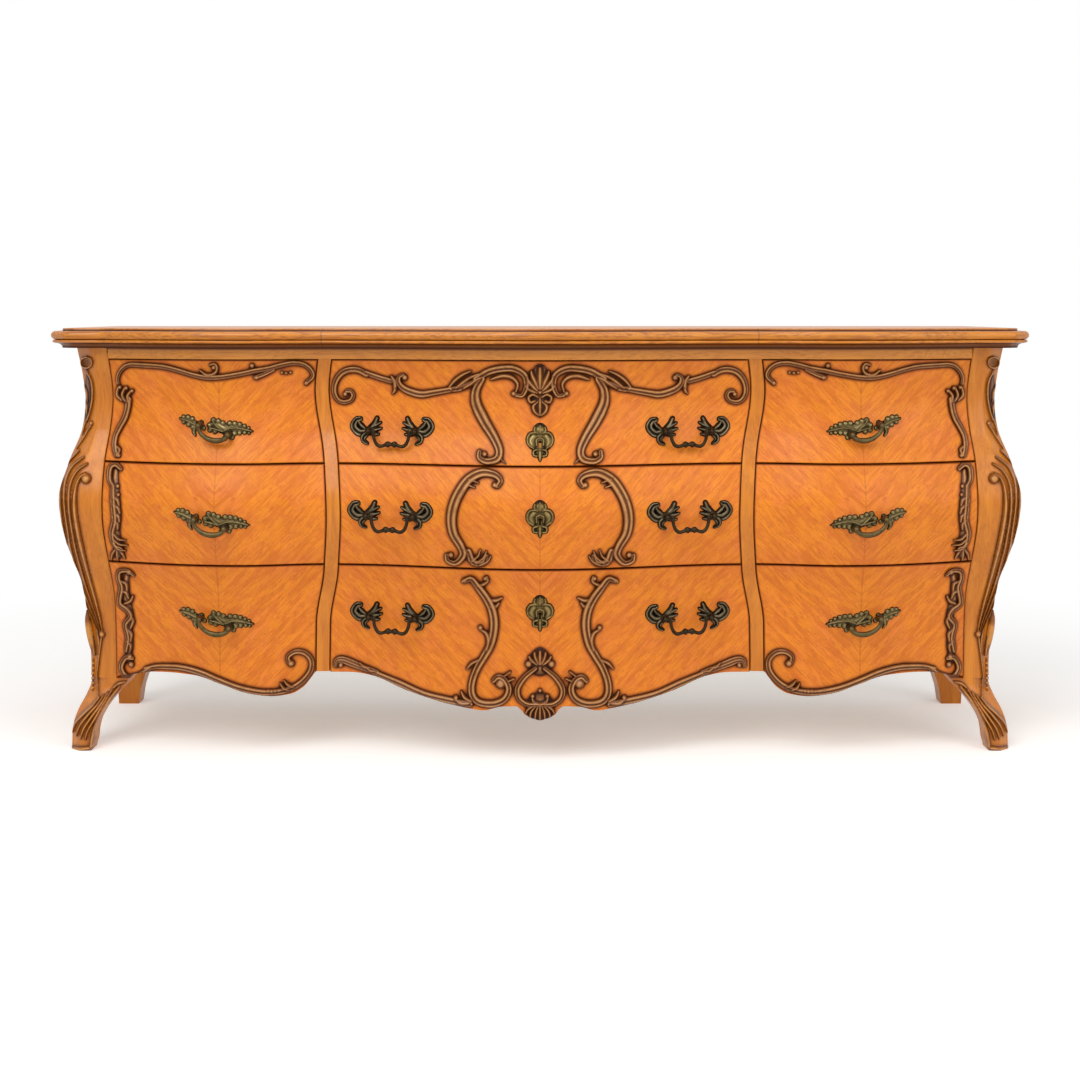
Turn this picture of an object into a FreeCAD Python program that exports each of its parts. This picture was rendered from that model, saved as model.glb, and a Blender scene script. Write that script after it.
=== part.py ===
"""A bombe dresser with nine drawers in three bays, built the way the real one is.

Four S-curved corner posts run from the floor to the top and carry everything. Between them stand a
frieze rail, two swept stiles, two partitions, dust boards and a back. The nine drawers run on the dust
boards, between guides. Their fronts are cut from one double-curved sheet: in plan it swells forward
over each bay, and from the side it draws in, swells out and draws in again. Carved scrolls are planted
on the fronts. The centre drawers have swinging bails on two leafy mounts, and the side drawers have one
cast pull each.

Units are millimetres. X runs along the front, Y from front to back, Z up from the floor. The origin is
on the floor, under the middle of the whole.
"""

import FreeCAD
import Part

import math
import os
import re

from FreeCAD import Vector

DOC = FreeCAD.newDocument("dresser")

# Driving dimensions: name, millimetres.
DRIVING_SIZES = (
    # overall
    ("overall_height", 860),
    ("corner_depth", 455),
    ("centre_bow", 126),
    ("flank_bow", 74),
    ("stile_bow", 49),
    ("belly_swell", 36),
    # top board and its moulded edge
    ("top_thickness", 40),
    ("nose_height", 27),
    ("top_lip", 6),
    ("nose_overhang", 45),
    ("lip_overhang", 23),
    ("moulding_width", 60),
    ("board_overlap", 50),
    # corner posts
    ("post_outer", 955),
    ("post_side_swell", 28),
    ("post_inner", 880),
    ("post_inner_sway", 8),
    ("post_depth", 75),
    ("leg_height", 139),
    ("leg_width", 84),
    ("rear_post_depth", 58),
    ("rear_post_inner", 868),
    # stiles, rails, boards
    ("stile_centre", 431),
    ("stile_sway", 19),
    ("stile_width", 26),
    ("stile_foot", 164),
    ("frieze_height", 22),
    ("front_thickness", 22),
    ("carcass_setback", 24),
    ("partition_centre", 428),
    ("board_thickness", 18),
    ("dust_board_thickness", 16),
    ("bottom_board_foot", 160),
    ("board_reach", 908),
    ("side_thickness", 19),
    ("side_reveal", 1.5),
    ("side_arch_rise", 22),
    ("back_thickness", 8),
    ("back_inset", 6),
    ("guide_height", 14),
    # drawer levels
    ("upper_joint", 590),
    ("lower_joint", 387),
    ("drawer_gap", 3),
    # drawer boxes
    ("centre_box_half", 396),
    ("side_box_inner", 460),
    ("side_box_outer", 856),
    ("box_side", 12),
    ("box_back", 10),
    ("box_bottom", 6),
    ("box_bottom_raise", 8),
    ("box_rear_room", 30),
    ("box_headroom", 4),
    ("runner_clearance", 0.5),
    ("guide_clearance", 2),
    ("fit_clearance", 0.3),
    # pulls
    ("centre_pull_place", 297),
    ("centre_pull_spacing", 94),
    ("centre_leaf", 27),
    ("side_pull_place", 652),
    ("side_pull_spacing", 60),
    ("side_pull_fall", 18),
    ("side_leaf", 40),
    ("leaf_height", 4),
    ("boss_radius", 6.5),
    ("boss_reach", 24),
    ("pivot_radius", 2.5),
    ("pivot_clearance", 0.08),
    ("bail_radius", 3.6),
    ("bail_drop", 30),
    ("bail_knot", 6.5),
    ("side_bar_drop", 39),
    ("side_bar_radius", 4),
    # carving and escutcheons
    ("carving_height", 8),
    ("scroll_width", 12),
    ("shell_size", 20),
    ("escutcheon_thickness", 2.5),
    ("escutcheon_height", 68),
    ("escutcheon_width", 52),
    ("keyhole_radius", 2.6),
    ("keyhole_drop", 11),
    ("strip_height", 36),
    ("overrun", 30),
)

# Main planes and edges, as formulas over the driving dimensions
PLACES = {
    "BACK": "(corner_depth + centre_bow + nose_overhang) / 2",
    "POST_PLANE": "corner_depth - BACK",
    "CASE_TOP": "overall_height - top_thickness",
    "FRIEZE_FOOT": "CASE_TOP - frieze_height",
    "POST_REAR": "post_depth - POST_PLANE",
    "REAR_POST_FRONT": "BACK - rear_post_depth",
    "PANEL_FRONT": "BACK - back_inset - back_thickness",
    "FRONT_LIMIT": "-(POST_PLANE + centre_bow + belly_swell)",
    "BOTTOM_HEAD": "bottom_board_foot + board_thickness",
    "PARTITION_INNER": "partition_centre - board_thickness / 2",
    "PARTITION_OUTER": "partition_centre + board_thickness / 2",
    "DUST_HALF": "dust_board_thickness / 2",
    "BOX_REAR": "PANEL_FRONT - box_rear_room",
}


def formula(text):
    """The same formula, with each place worked out and each alias written as the sheet's cell."""
    while re.search(r"[A-Z]{3,}", text):
        text = re.sub(r"[A-Z][A-Z_]{2,}", lambda word: f"({PLACES[word.group()]})", text)
    return re.sub(r"[a-z][a-z_]{2,}", lambda word: f"Sizes.{word.group()}", text)


def make_sheet():
    """Puts the driving dimensions in a spreadsheet, one aliased cell each."""
    sheet = DOC.addObject("Spreadsheet::Sheet", "Sizes")
    for row, (alias, number) in enumerate(DRIVING_SIZES, start=1):
        sheet.set(f"A{row}", alias)
        sheet.set(f"B{row}", str(number))
        sheet.setAlias(f"B{row}", alias)
    DOC.recompute()
    return sheet


SHEET = make_sheet()
KNOWN = {}


def size(text):
    """What a driving dimension, or a formula over several, comes to."""
    if text not in KNOWN:
        KNOWN[text] = float(SHEET.evalExpression(formula(text)))
    return KNOWN[text]


BACK = size("BACK")
POST_PLANE = size("POST_PLANE")
CASE_TOP = size("CASE_TOP")
FRIEZE_FOOT = size("FRIEZE_FOOT")
SIDES = ("left", "right")
BAYS = ("left", "centre", "right")
ROWS = ("top", "middle", "bottom")

# How far the front swells at each level: share of the case's height, share of belly_swell.
FRONT_SWELL_SHARES = (
    (0.08, -0.86), (0.19, -0.83), (0.285, -0.70), (0.40, -0.30), (0.52, 0.62), (0.62, 1.0),
    (0.72, 0.40), (0.80, -0.33), (0.865, -0.50), (0.93, -0.33), (1.0, 0.0),
)
# The same for a corner post, which runs on down to its toe.
POST_SWELL_SHARES = (
    (0.0, 0.18), (0.034, 0.18), (0.062, 0.10), (0.092, -0.14), (0.125, -0.56), (0.155, -0.80),
) + FRONT_SWELL_SHARES[1:]
# The inner edge of a front post: share of the case's height, share of post_inner_sway.
POST_INNER_SHARES = (
    (0.15, -1.1), (0.35, -1.1), (0.48, -0.1), (0.58, 0.75), (0.70, 0.75), (0.88, -0.5), (1.0, 0.6),
)
# The width of a leg below the case: share of leg_height, share of leg_width.
LEG_WIDTH_SHARES = (
    (0.0, 0.55), (0.14, 0.60), (0.37, 0.62), (0.57, 0.68), (0.74, 0.76), (0.90, 0.94), (1.0, 1.03),
)
# The line of a stile: share of the case's height, share of stile_sway off its centre.
STILE_SHARES = (
    (0.18, 0.50), (0.32, 0.40), (0.46, -0.60), (0.60, -1.0), (0.72, -0.66), (0.895, 0.50), (1.0, 0.0),
)
# Where the front stands out furthest over a side bay: share of the way from stile to post.
FLANK_PEAK_SHARE = 0.37
# How much of a post's width its canted corner takes.
CANT_SHARE = 0.5
# The same for the corners of the top, which are squarer.
TOP_CANT_SHARE = 0.18


def follow(shares, place):
    """The value at a place on a smooth line through pairs of place and value."""
    places = [pair[0] for pair in shares]
    values = [pair[1] for pair in shares]
    if place <= places[0]:
        return values[0]
    if place >= places[-1]:
        return values[-1]
    slopes = [0.0] * len(shares)
    for i in range(1, len(shares) - 1):
        before = (values[i] - values[i - 1]) / (places[i] - places[i - 1])
        after = (values[i + 1] - values[i]) / (places[i + 1] - places[i])
        slopes[i] = 0.0 if before * after <= 0 else 2 * before * after / (before + after)
    slopes[-1] = (values[-1] - values[-2]) / (places[-1] - places[-2])
    i = max(k for k in range(len(shares) - 1) if places[k] <= place)
    run = places[i + 1] - places[i]
    t = (place - places[i]) / run
    leave, arrive = (t**3 - 2 * t**2 + t) * run, (t**3 - t**2) * run
    blend = 3 * t**2 - 2 * t**3
    return values[i] + (values[i + 1] - values[i]) * blend + leave * slopes[i] + arrive * slopes[i + 1]


def flank_peak():
    """Where a side bay stands out furthest."""
    return size("stile_centre") + FLANK_PEAK_SHARE * size("post_inner + post_inner_sway - stile_centre")


def plan_bow(x):
    """How far the front stands forward of the corner posts at x, seen from above."""
    x = abs(x)
    stile, peak, post = size("stile_centre"), flank_peak(), size("post_inner + post_inner_sway")
    if x <= stile:
        fall = (1 + math.cos(math.pi * x / stile)) / 2
        return size("stile_bow") + size("centre_bow - stile_bow") * fall
    if x <= peak:
        rise = (1 - math.cos(math.pi * (x - stile) / (peak - stile))) / 2
        return size("stile_bow") + size("flank_bow - stile_bow") * rise
    return size("flank_bow") * math.cos(math.pi / 2 * (x - peak) / (post - peak))


def front_y(x, z):
    """Where the face of the front lies."""
    return -(POST_PLANE + plan_bow(x) + size("belly_swell") * follow(FRONT_SWELL_SHARES, z / CASE_TOP))


def post_front_y(z):
    """Where the front facet of a corner post lies."""
    return -(POST_PLANE + size("belly_swell") * follow(POST_SWELL_SHARES, z / CASE_TOP))


def post_outer_x(z):
    """The outer edge of a corner post, from the middle of the dresser."""
    return size("post_outer") + size("post_side_swell") * follow(POST_SWELL_SHARES, z / CASE_TOP)


def post_inner_x(z):
    """The inner edge of a front post, which the drawer fronts follow."""
    return size("post_inner") + size("post_inner_sway") * follow(POST_INNER_SHARES, z / CASE_TOP)


def stile_x(z):
    """The centre line of a stile, from the middle of the dresser."""
    return size("stile_centre") + size("stile_sway") * follow(STILE_SHARES, z / CASE_TOP)


def steps(start, end, count):
    """Evenly spaced values from start to end, both included."""
    return [start + (end - start) * i / (count - 1) for i in range(count)]


def spline(points):
    """One smooth edge through the points."""
    curve = Part.BSplineCurve()
    curve.interpolate(points)
    return curve.toShape()


def flats(points, count):
    """Straight edges along the smooth line through the points."""
    return Part.makePolygon(spline(points).discretize(Number=count + 1)).Edges


def line(start, end):
    """One straight edge."""
    return Part.LineSegment(start, end).toShape()


def closed_face(edges):
    """A face bounded by edges that meet end to end."""
    return Part.Face(Part.Wire(Part.__sortEdges__(edges)))


def moved(shape, x=0, y=0, z=0):
    """A copy of a shape, shifted."""
    copy = shape.copy()
    copy.translate(Vector(x, y, z))
    return copy


def mirrored(shape):
    """The left-hand twin of a right-hand shape."""
    return shape.mirror(Vector(0, 0, 0), Vector(1, 0, 0))


def stacked(rings):
    """A solid with flat sides through rings of points, whose sides stay parallel from ring to ring."""
    faces = [Part.Face(Part.makePolygon(ring + ring[:1])) for ring in (rings[0], rings[-1])]
    for low, high in zip(rings, rings[1:]):
        for i in range(len(low)):
            faces.append(Part.Face(Part.makePolygon([low[i - 1], low[i], high[i], high[i - 1], low[i - 1]])))
    solid = Part.makeSolid(Part.makeShell(faces))
    return solid if solid.Volume > 0 else solid.reversed()


# Objects of the document

SUBPARTS = []


def board(name, x_range, y_range, z_range):
    """A plain board: a box whose limits are two formulas in each direction."""
    item = DOC.addObject("Part::Box", name)
    for side, axis, (low, high) in zip(("Length", "Width", "Height"), "xyz", (x_range, y_range, z_range)):
        item.setExpression(side, formula(f"({high}) - ({low})"))
        item.setExpression(f"Placement.Base.{axis}", formula(low))
    return item


def piece(name, shape):
    """An object whose shape is worked out here from the sheet."""
    item = DOC.addObject("Part::Feature", name)
    item.Shape = shape
    item.Placement = FreeCAD.Placement()
    return item


def compound(name, items):
    """Several loose pieces as one object."""
    item = DOC.addObject("Part::Compound", name)
    item.Links = items
    return item


def cut(name, base, tool):
    """One object less another."""
    item = DOC.addObject("Part::Cut", name)
    item.Base, item.Tool = base, tool
    return item


def subpart(item, label):
    """Names an object as a sub-part that gets its own file."""
    item.Label = label
    SUBPARTS.append(item)
    return item


# The front is a stack of ruled strips between smooth plan curves, one curve at each level

# How many equal steps the plan curve takes from the middle to the stile, on to its second peak, and on
# to its end.
PLAN_STEPS = (4, 2, 3)


def front_reach():
    """How far the plan curves run to each side."""
    return size("post_inner + post_inner_sway + overrun")


# How many flats a hidden face takes to each of those steps.
HIDDEN_FLATS = 2


def plan_places(reach, flats=1):
    """Where the plan curve is measured, from one side to the other."""
    ends = (0, size("stile_centre"), flank_peak(), reach)
    right = []
    for start, end, count in zip(ends, ends[1:], PLAN_STEPS):
        right += steps(start, end, count * flats + 1)[1:]
    return [-x for x in reversed(right)] + [0] + right


def plan_edge(shift, z):
    """The plan curve of the front, so far behind the line of the posts, at one level."""
    return spline([Vector(x, shift - POST_PLANE - plan_bow(x), z) for x in plan_places(front_reach())])


def plan_section(shift, z, y):
    """A closed outline between a plan curve and a straight line across, at one level."""
    reach = front_reach()
    edge = plan_edge(shift, z)
    ends = edge.valueAt(edge.FirstParameter), edge.valueAt(edge.LastParameter)
    corners = Vector(-reach, y, z), Vector(reach, y, z)
    return Part.Wire([edge, line(ends[1], corners[1]), line(corners[1], corners[0]), line(corners[0], ends[0])])


def front_swell(z):
    """How far the front swells forward at height z."""
    return size("belly_swell") * follow(FRONT_SWELL_SHARES, z / CASE_TOP)


def strip_levels(foot, head):
    """The levels of the strips between a foot and a head."""
    return steps(foot, head, 1 + max(1, round((head - foot) / size("strip_height"))))


BLOCKS = {}


def front_block(foot, head):
    """All that lies behind the face of the front, back to the middle of the case."""
    if (foot, head) not in BLOCKS:
        sections = [plan_section(-front_swell(z), z, 0) for z in strip_levels(foot, head)]
        BLOCKS[(foot, head)] = Part.makeLoft(sections, True, True)
    return BLOCKS[(foot, head)]


def plan_prism(shift, y):
    """An upright prism between the plan curve, in flats, and a straight line across."""
    reach = front_reach()
    edge = [Vector(x, shift - POST_PLANE - plan_bow(x), 0) for x in plan_places(reach, HIDDEN_FLATS)]
    outline = edge + [Vector(reach, y, 0), Vector(-reach, y, 0)] + edge[:1]
    return Part.Face(Part.makePolygon(outline)).extrude(Vector(0, 0, CASE_TOP))


def behind(shift):
    """All that lies behind a plan curve."""
    return plan_prism(shift, BACK)


def ahead(shift):
    """All that lies ahead of a plan curve."""
    return plan_prism(shift, -BACK)


def through(outline):
    """A prism along Y, over the whole depth, from a face in the front view."""
    return moved(outline, y=-2 * BACK).extrude(Vector(0, 4 * BACK, 0))


def relief(outline, block, height):
    """A raised piece on the face of the front, from its outline in the front view."""
    return moved(block, y=-height).common(through(outline)).cut(block)


# Drawers in the front view

ROW_HEAD = {"top": "FRIEZE_FOOT", "middle": "upper_joint", "bottom": "lower_joint"}
ROW_FOOT = {"top": "upper_joint", "middle": "lower_joint", "bottom": "stile_foot"}
APRON_FLATS = 28
# How low the blocks of the bottom row reach, as a share of the case's height.
SHEET_FOOT_SHARE = 0.08

# The wavy lower edge of the bottom drawers, from the stile outwards in a side bay and from the stile to
# the middle in the centre bay: share of the way, share of stile_foot.
SIDE_APRON_SHARES = (
    (0.0, 0.99), (0.02, 0.93), (0.06, 0.81), (0.12, 0.73), (0.20, 0.71), (0.32, 0.755), (0.46, 0.875),
    (0.60, 0.97), (0.72, 0.985), (0.84, 0.97), (0.93, 0.92), (1.0, 0.885),
)
CENTRE_APRON_SHARES = (
    (0.0, 0.99), (0.10, 0.99), (0.22, 0.945), (0.36, 0.805), (0.48, 0.715), (0.58, 0.655), (0.66, 0.62),
    (0.73, 0.60), (0.82, 0.655), (0.90, 0.665), (0.93, 0.565), (0.96, 0.53), (1.0, 0.50),
)


def bends_between(low, high):
    """The two ends of an upright line, and the levels between them at which every such line bends."""
    return [low] + [z for z in post_levels() if low < z < high] + [high]


def bent(line_x, z):
    """Where an upright line lies at height z, once it runs straight from bend to bend."""
    below = [level for level in post_levels() if level < z]
    above = [level for level in post_levels() if level >= z]
    if not below or not above:
        return line_x(z)
    share = (z - below[-1]) / (above[0] - below[-1])
    return line_x(below[-1]) + share * (line_x(above[0]) - line_x(below[-1]))


def edge_x(bay, outer, z):
    """Where an upright edge of a drawer front lies, on the right-hand side."""
    half_gap = size("drawer_gap / 2")
    if bay == "centre":
        return bent(stile_x, z) - size("stile_width / 2") - half_gap
    if outer:
        return bent(post_inner_x, z) - half_gap
    return bent(stile_x, z) + size("stile_width / 2") + half_gap


def apron_points(bay):
    """The points of a bottom drawer's lower edge, on the right-hand side, starting at the stile."""
    foot = size("stile_foot")
    if bay == "centre":
        reach = edge_x(bay, True, foot)
        return [Vector(reach * (1 - along), 0, foot * level) for along, level in CENTRE_APRON_SHARES]
    start, end = edge_x(bay, False, foot), edge_x(bay, True, foot)
    return [Vector(start + (end - start) * along, 0, foot * level) for along, level in SIDE_APRON_SHARES]


def upright(bay, outer, foot, head, side=1):
    """An upright edge of a drawer front, from its foot to a head."""
    places = bends_between(foot.z, head)[1:]
    return Part.makePolygon([foot] + [Vector(side * edge_x(bay, outer, z), 0, z) for z in places]).Edges


def drawer_outline(bay, row):
    """What bounds a drawer front in the front view; a side bay's is the right-hand one.

    It runs past the head of the row, and past the foot where the foot is straight.
    """
    head = size(f"{ROW_HEAD[row]} + overrun")
    if row == "bottom":
        feet = apron_points(bay)
        if bay == "centre":
            feet = feet + [Vector(-foot.x, 0, foot.z) for foot in feet[-2::-1]]
    else:
        low = size(f"{ROW_FOOT[row]} - overrun")
        inner = -edge_x(bay, True, low) if bay == "centre" else edge_x(bay, False, low)
        feet = [Vector(edge_x(bay, True, low), 0, low), Vector(inner, 0, low)]
        if bay != "centre":
            feet.reverse()
    if bay == "centre":
        sides = [upright(bay, True, feet[0], head), upright(bay, True, feet[-1], head, -1)]
    else:
        sides = [upright(bay, False, feet[0], head), upright(bay, True, feet[-1], head)]
    lower = flats(feet, APRON_FLATS) if len(feet) > 2 else [line(feet[0], feet[1])]
    heads = [edges[-1].lastVertex().Point for edges in sides]
    return closed_face(sides[0] + sides[1] + [line(heads[0], heads[1])] + lower)


def row_block(row):
    """The block that a row of drawer fronts is cut from."""
    foot = SHEET_FOOT_SHARE * CASE_TOP if row == "bottom" else size(f"{ROW_FOOT[row]} + drawer_gap / 2")
    return front_block(foot, size(f"{ROW_HEAD[row]} - drawer_gap / 2"))


def row_recess(row):
    """How far the flat inner face of a row of fronts lies behind the line of the posts."""
    foot = SHEET_FOOT_SHARE * CASE_TOP if row == "bottom" else size(ROW_FOOT[row])
    return size("front_thickness") - min(front_swell(z) for z in strip_levels(foot, size(ROW_HEAD[row])))


# The posts

def post_section(z, inner, rear, cant):
    """One level of a front post: a square with its outer front corner canted."""
    outer, front = post_outer_x(z), post_front_y(z)
    return [
        Vector(inner, front, z),
        Vector(outer - cant, front, z),
        Vector(outer, front + cant, z),
        Vector(outer, rear, z),
        Vector(inner, rear, z),
    ]


def rear_section(z, inner, front):
    """One level of a rear post, square and flat at the back."""
    outer = post_outer_x(z)
    return [Vector(inner, front, z), Vector(outer, front, z), Vector(outer, BACK, z), Vector(inner, BACK, z)]


LEG_SECTIONS = 11
POST_SECTIONS = 25


def leg_levels():
    """Heights at which a leg's sections stand, and the leg's width at each."""
    shares = steps(0, 1, LEG_SECTIONS)
    return [(at * size("leg_height"), follow(LEG_WIDTH_SHARES, at) * size("leg_width")) for at in shares]


def post_levels():
    """Heights at which a post's sections stand."""
    return steps(size("leg_height"), CASE_TOP, POST_SECTIONS)


def post_and_leg(sections, leg_sections):
    """One carved post, from the floor to the top."""
    return stacked(sections).fuse(stacked(leg_sections))


def front_post():
    """The right-hand front post."""
    sections, leg_sections = [], []
    for z in post_levels():
        inner = post_inner_x(z)
        sections.append(post_section(z, inner, size("POST_REAR"), CANT_SHARE * (post_outer_x(z) - inner)))
    for z, width in leg_levels():
        cant = CANT_SHARE * min(width, size("post_outer - post_inner"))
        leg_sections.append(post_section(z, post_outer_x(z) - width, post_front_y(z) + width, cant))
    return post_and_leg(sections, leg_sections)


def rear_post():
    """The right-hand rear post."""
    sections = [rear_section(z, size("rear_post_inner"), size("REAR_POST_FRONT")) for z in post_levels()]
    leg_sections = [rear_section(z, post_outer_x(z) - width, BACK - width) for z, width in leg_levels()]
    return post_and_leg(sections, leg_sections)


ARCH_FLATS = 10


def side_panel():
    """The right-hand side: a bombe panel between the posts, with a shallow arch in its lower edge."""
    foot, rise = size("bottom_board_foot"), size("side_arch_rise")
    levels = [foot] + [z for z in post_levels() if z > foot]
    outer = [Vector(post_outer_x(z) - size("side_reveal"), 0, z) for z in levels]
    inner = [point - Vector(size("side_thickness"), 0, 0) for point in outer]
    section = Part.Face(Part.makePolygon(outer + inner[::-1] + outer[:1]))
    start, end = size("POST_REAR"), size("REAR_POST_FRONT")
    panel = moved(section, y=start).extrude(Vector(0, end - start, 0))
    turns = steps(0, math.pi, ARCH_FLATS + 1)
    arch = [
        Vector(0, y, foot + rise * math.sin(turn)**2)
        for y, turn in zip(steps(start, end, ARCH_FLATS + 1), turns)
    ]
    low = [Vector(0, end, foot - rise), Vector(0, start, foot - rise)]
    scoop = Part.Face(Part.makePolygon(arch + low + arch[:1]))
    return panel.cut(scoop.extrude(Vector(size("post_outer + post_side_swell"), 0, 0)))


# Frieze rail and stiles

def behind_posts_line():
    """How far the case's members lie behind the line of the posts, clear of the thinnest fronts."""
    return size("carcass_setback") - size("belly_swell") * min(share for _, share in FRONT_SWELL_SHARES)


def frieze_rail():
    """The rail under the top, swept with the front from post to post."""
    reach = post_inner_x(FRIEZE_FOOT) - size("fit_clearance")
    low, high = FRIEZE_FOOT - size("overrun"), size("overall_height")
    outline = Part.Face(Part.makePolygon([
        Vector(x, 0, z) for x, z in ((reach, low), (reach, high), (-reach, high), (-reach, low), (reach, low))
    ]))
    rail = front_block(FRIEZE_FOOT, CASE_TOP).common(through(outline))
    return rail.cut(behind(behind_posts_line() - size("fit_clearance")))


def stile():
    """The right-hand stile between two columns of drawers."""
    half, foot = size("stile_width / 2"), size("stile_foot")
    levels = bends_between(foot - size("overrun"), FRIEZE_FOOT + size("overrun"))
    inner = [Vector(bent(stile_x, z) - half, 0, z) for z in levels]
    outer = [Vector(bent(stile_x, z) + half, 0, z) for z in levels]
    outline = Part.Face(Part.makePolygon(inner + outer[::-1] + inner[:1]))
    post = front_block(foot, FRIEZE_FOOT).common(through(outline))
    return post.cut(behind(behind_posts_line() - size("fit_clearance")))


# The top

def top_edges(overhang):
    """The plan of the top at an overhang: canted corners and a serpentine front, open at the back."""
    cant = TOP_CANT_SHARE * size("post_outer - post_inner")
    corner = cant - overhang * math.tan(math.pi / 8)
    outer, front = size("post_outer") + overhang, -POST_PLANE - overhang
    front_reach = size("post_outer") - corner
    serpentine = [Vector(x, front - max(0, plan_bow(x)), 0) for x in plan_places(front_reach)]
    corners = [Vector(-outer, BACK, 0), Vector(-outer, front + corner + overhang, 0)]
    twins = [Vector(-point.x, point.y, 0) for point in reversed(corners)]
    return [
        line(corners[0], corners[1]),
        line(corners[1], serpentine[0]),
        spline(serpentine),
        line(serpentine[-1], twins[0]),
        line(twins[0], twins[1]),
    ]


def top_plate(overhang):
    """The whole thickness of the top, to an overhang."""
    edges = top_edges(overhang)
    back = line(edges[-1].lastVertex().Point, edges[0].firstVertex().Point)
    return moved(closed_face(edges + [back]), z=CASE_TOP).extrude(Vector(0, 0, size("top_thickness")))


NOSE_FLATS = 5


def nose_section():
    """The section of the moulded edge: a lip over a full round nose over a fillet."""
    outer = size("post_outer + nose_overhang")
    lip = size("post_outer + lip_overhang")
    inner = outer - size("moulding_width")
    head, foot = size("overall_height"), CASE_TOP
    nose_head = head - size("top_lip")
    radius = size("nose_height / 2")
    nose_foot = nose_head - 2 * radius

    def point(x, z):
        return Vector(-x, BACK, z)

    centre_x, centre_z = outer - radius, nose_foot + radius
    turns = [math.pi / 2 - math.pi * i / NOSE_FLATS for i in range(NOSE_FLATS + 1)]
    nose = [point(centre_x + radius * math.cos(turn), centre_z + radius * math.sin(turn)) for turn in turns]
    rest = [
        point(lip, nose_foot), point(lip, foot), point(inner, foot), point(inner, head), point(lip, head),
        point(lip, nose_head),
    ]
    return Part.makePolygon(nose + rest + nose[:1])


def top_moulding():
    """The moulded edge round the front and sides."""
    path = Part.Wire([moved(edge, z=CASE_TOP) for edge in top_edges(size("nose_overhang"))])
    sweep = Part.BRepOffsetAPI.MakePipeShell(path)
    sweep.setBiNormalMode(Vector(0, 0, 1))
    sweep.setTransitionMode(1)
    sweep.add(nose_section(), False, False)
    sweep.build()
    sweep.makeSolid()
    return sweep.shape()


def build_top():
    """The top board, and its moulded edge in the three lengths whose joints show."""
    moulding = top_moulding()
    joint, far = size("stile_centre"), size("post_outer + nose_overhang + overrun")
    lengths = []
    for low, high in ((-far, -joint), (-joint, joint), (joint, far)):
        room = Part.makeBox(
            high - low, 4 * BACK, size("overall_height"), Vector(low, -2 * BACK, 0)
        )
        lengths.append(moulding.common(room))
    subpart(piece("TopBoard", top_plate(size("nose_overhang - board_overlap")).cut(moulding)), "top_board")
    subpart(piece("TopMoulding", Part.makeCompound(lengths)), "top_edge_moulding")


# The case

def build_posts():
    """Four posts, two side panels."""
    front, rear, panel = front_post(), rear_post(), side_panel()
    for side in SIDES:
        for name, shape in (("front_{}_post", front), ("rear_{}_post", rear), ("{}_side_panel", panel)):
            label = name.format(side)
            subpart(piece(label, shape if side == "right" else mirrored(shape)), label)


def opposite(low, high):
    """The limits of a left-hand board, from those of its right-hand twin."""
    return f"-({high})", f"-({low})"


BAY_LIMITS = {
    "left": opposite("PARTITION_OUTER", "board_reach"),
    "centre": ("-(PARTITION_INNER)", "PARTITION_INNER"),
    "right": ("PARTITION_OUTER", "board_reach"),
}
DEPTH_LIMITS = ("FRONT_LIMIT", "PANEL_FRONT")


def post_room():
    """The room that the boards leave round the four posts."""
    far = "post_outer + post_side_swell"
    rooms = []
    for y_range in (("FRONT_LIMIT - overrun", "POST_REAR"), ("REAR_POST_FRONT", "BACK")):
        for x_range in (("rear_post_inner", far), opposite("rear_post_inner", far)):
            rooms.append(board("PostRoom", x_range, y_range, ("0 * overrun", "CASE_TOP")))
    return rooms


def build_boards():
    """Partitions, dust boards, bottom board and back, cut to lie behind the front."""
    room = compound("Room", [piece("AheadOfCase", ahead(behind_posts_line()))] + post_room())
    partitions = [
        board("Partition", limits, DEPTH_LIMITS, ("BOTTOM_HEAD", "CASE_TOP"))
        for limits in (("PARTITION_INNER", "PARTITION_OUTER"), opposite("PARTITION_INNER", "PARTITION_OUTER"))
    ]
    dust_boards = [
        board("DustBoard", BAY_LIMITS[bay], DEPTH_LIMITS, (f"{joint} - DUST_HALF", f"{joint} + DUST_HALF"))
        for joint in ("upper_joint", "lower_joint") for bay in BAYS
    ]
    floor = [board("Bottom", ("-board_reach", "board_reach"), DEPTH_LIMITS, ("bottom_board_foot", "BOTTOM_HEAD"))]
    for label, boards in (("partitions", partitions), ("dust_boards", dust_boards), ("bottom_board", floor)):
        subpart(cut(label, compound(f"{label}_blank", boards), room), label)
    back = board(
        "Back", ("-rear_post_inner", "rear_post_inner"), ("PANEL_FRONT", "PANEL_FRONT + back_thickness"),
        ("bottom_board_foot", "CASE_TOP"),
    )
    subpart(back, "back_panel")


ROW_FLOOR = {
    "top": "upper_joint + DUST_HALF", "middle": "lower_joint + DUST_HALF", "bottom": "BOTTOM_HEAD",
}
ROW_CEILING = {
    "top": "FRIEZE_FOOT", "middle": "upper_joint - DUST_HALF", "bottom": "lower_joint - DUST_HALF",
}
BOX_LIMITS = {
    "left": opposite("side_box_inner", "side_box_outer"),
    "centre": ("-centre_box_half", "centre_box_half"),
    "right": ("side_box_inner", "side_box_outer"),
}


def build_guides():
    """The strips that keep the drawers straight, two to each drawer."""
    strips = []
    for bay in BAYS:
        low, high = BAY_LIMITS[bay]
        left, right = BOX_LIMITS[bay]
        for row in ROWS:
            span = (ROW_FLOOR[row], f"{ROW_FLOOR[row]} + guide_height")
            for limits in ((low, f"{left} - guide_clearance"), (f"{right} + guide_clearance", high)):
                strips.append(board("Guide", limits, ("POST_REAR", "REAR_POST_FRONT"), span))
    subpart(compound("Guides", strips), "drawer_guides")


# The drawers' boxes

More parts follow.
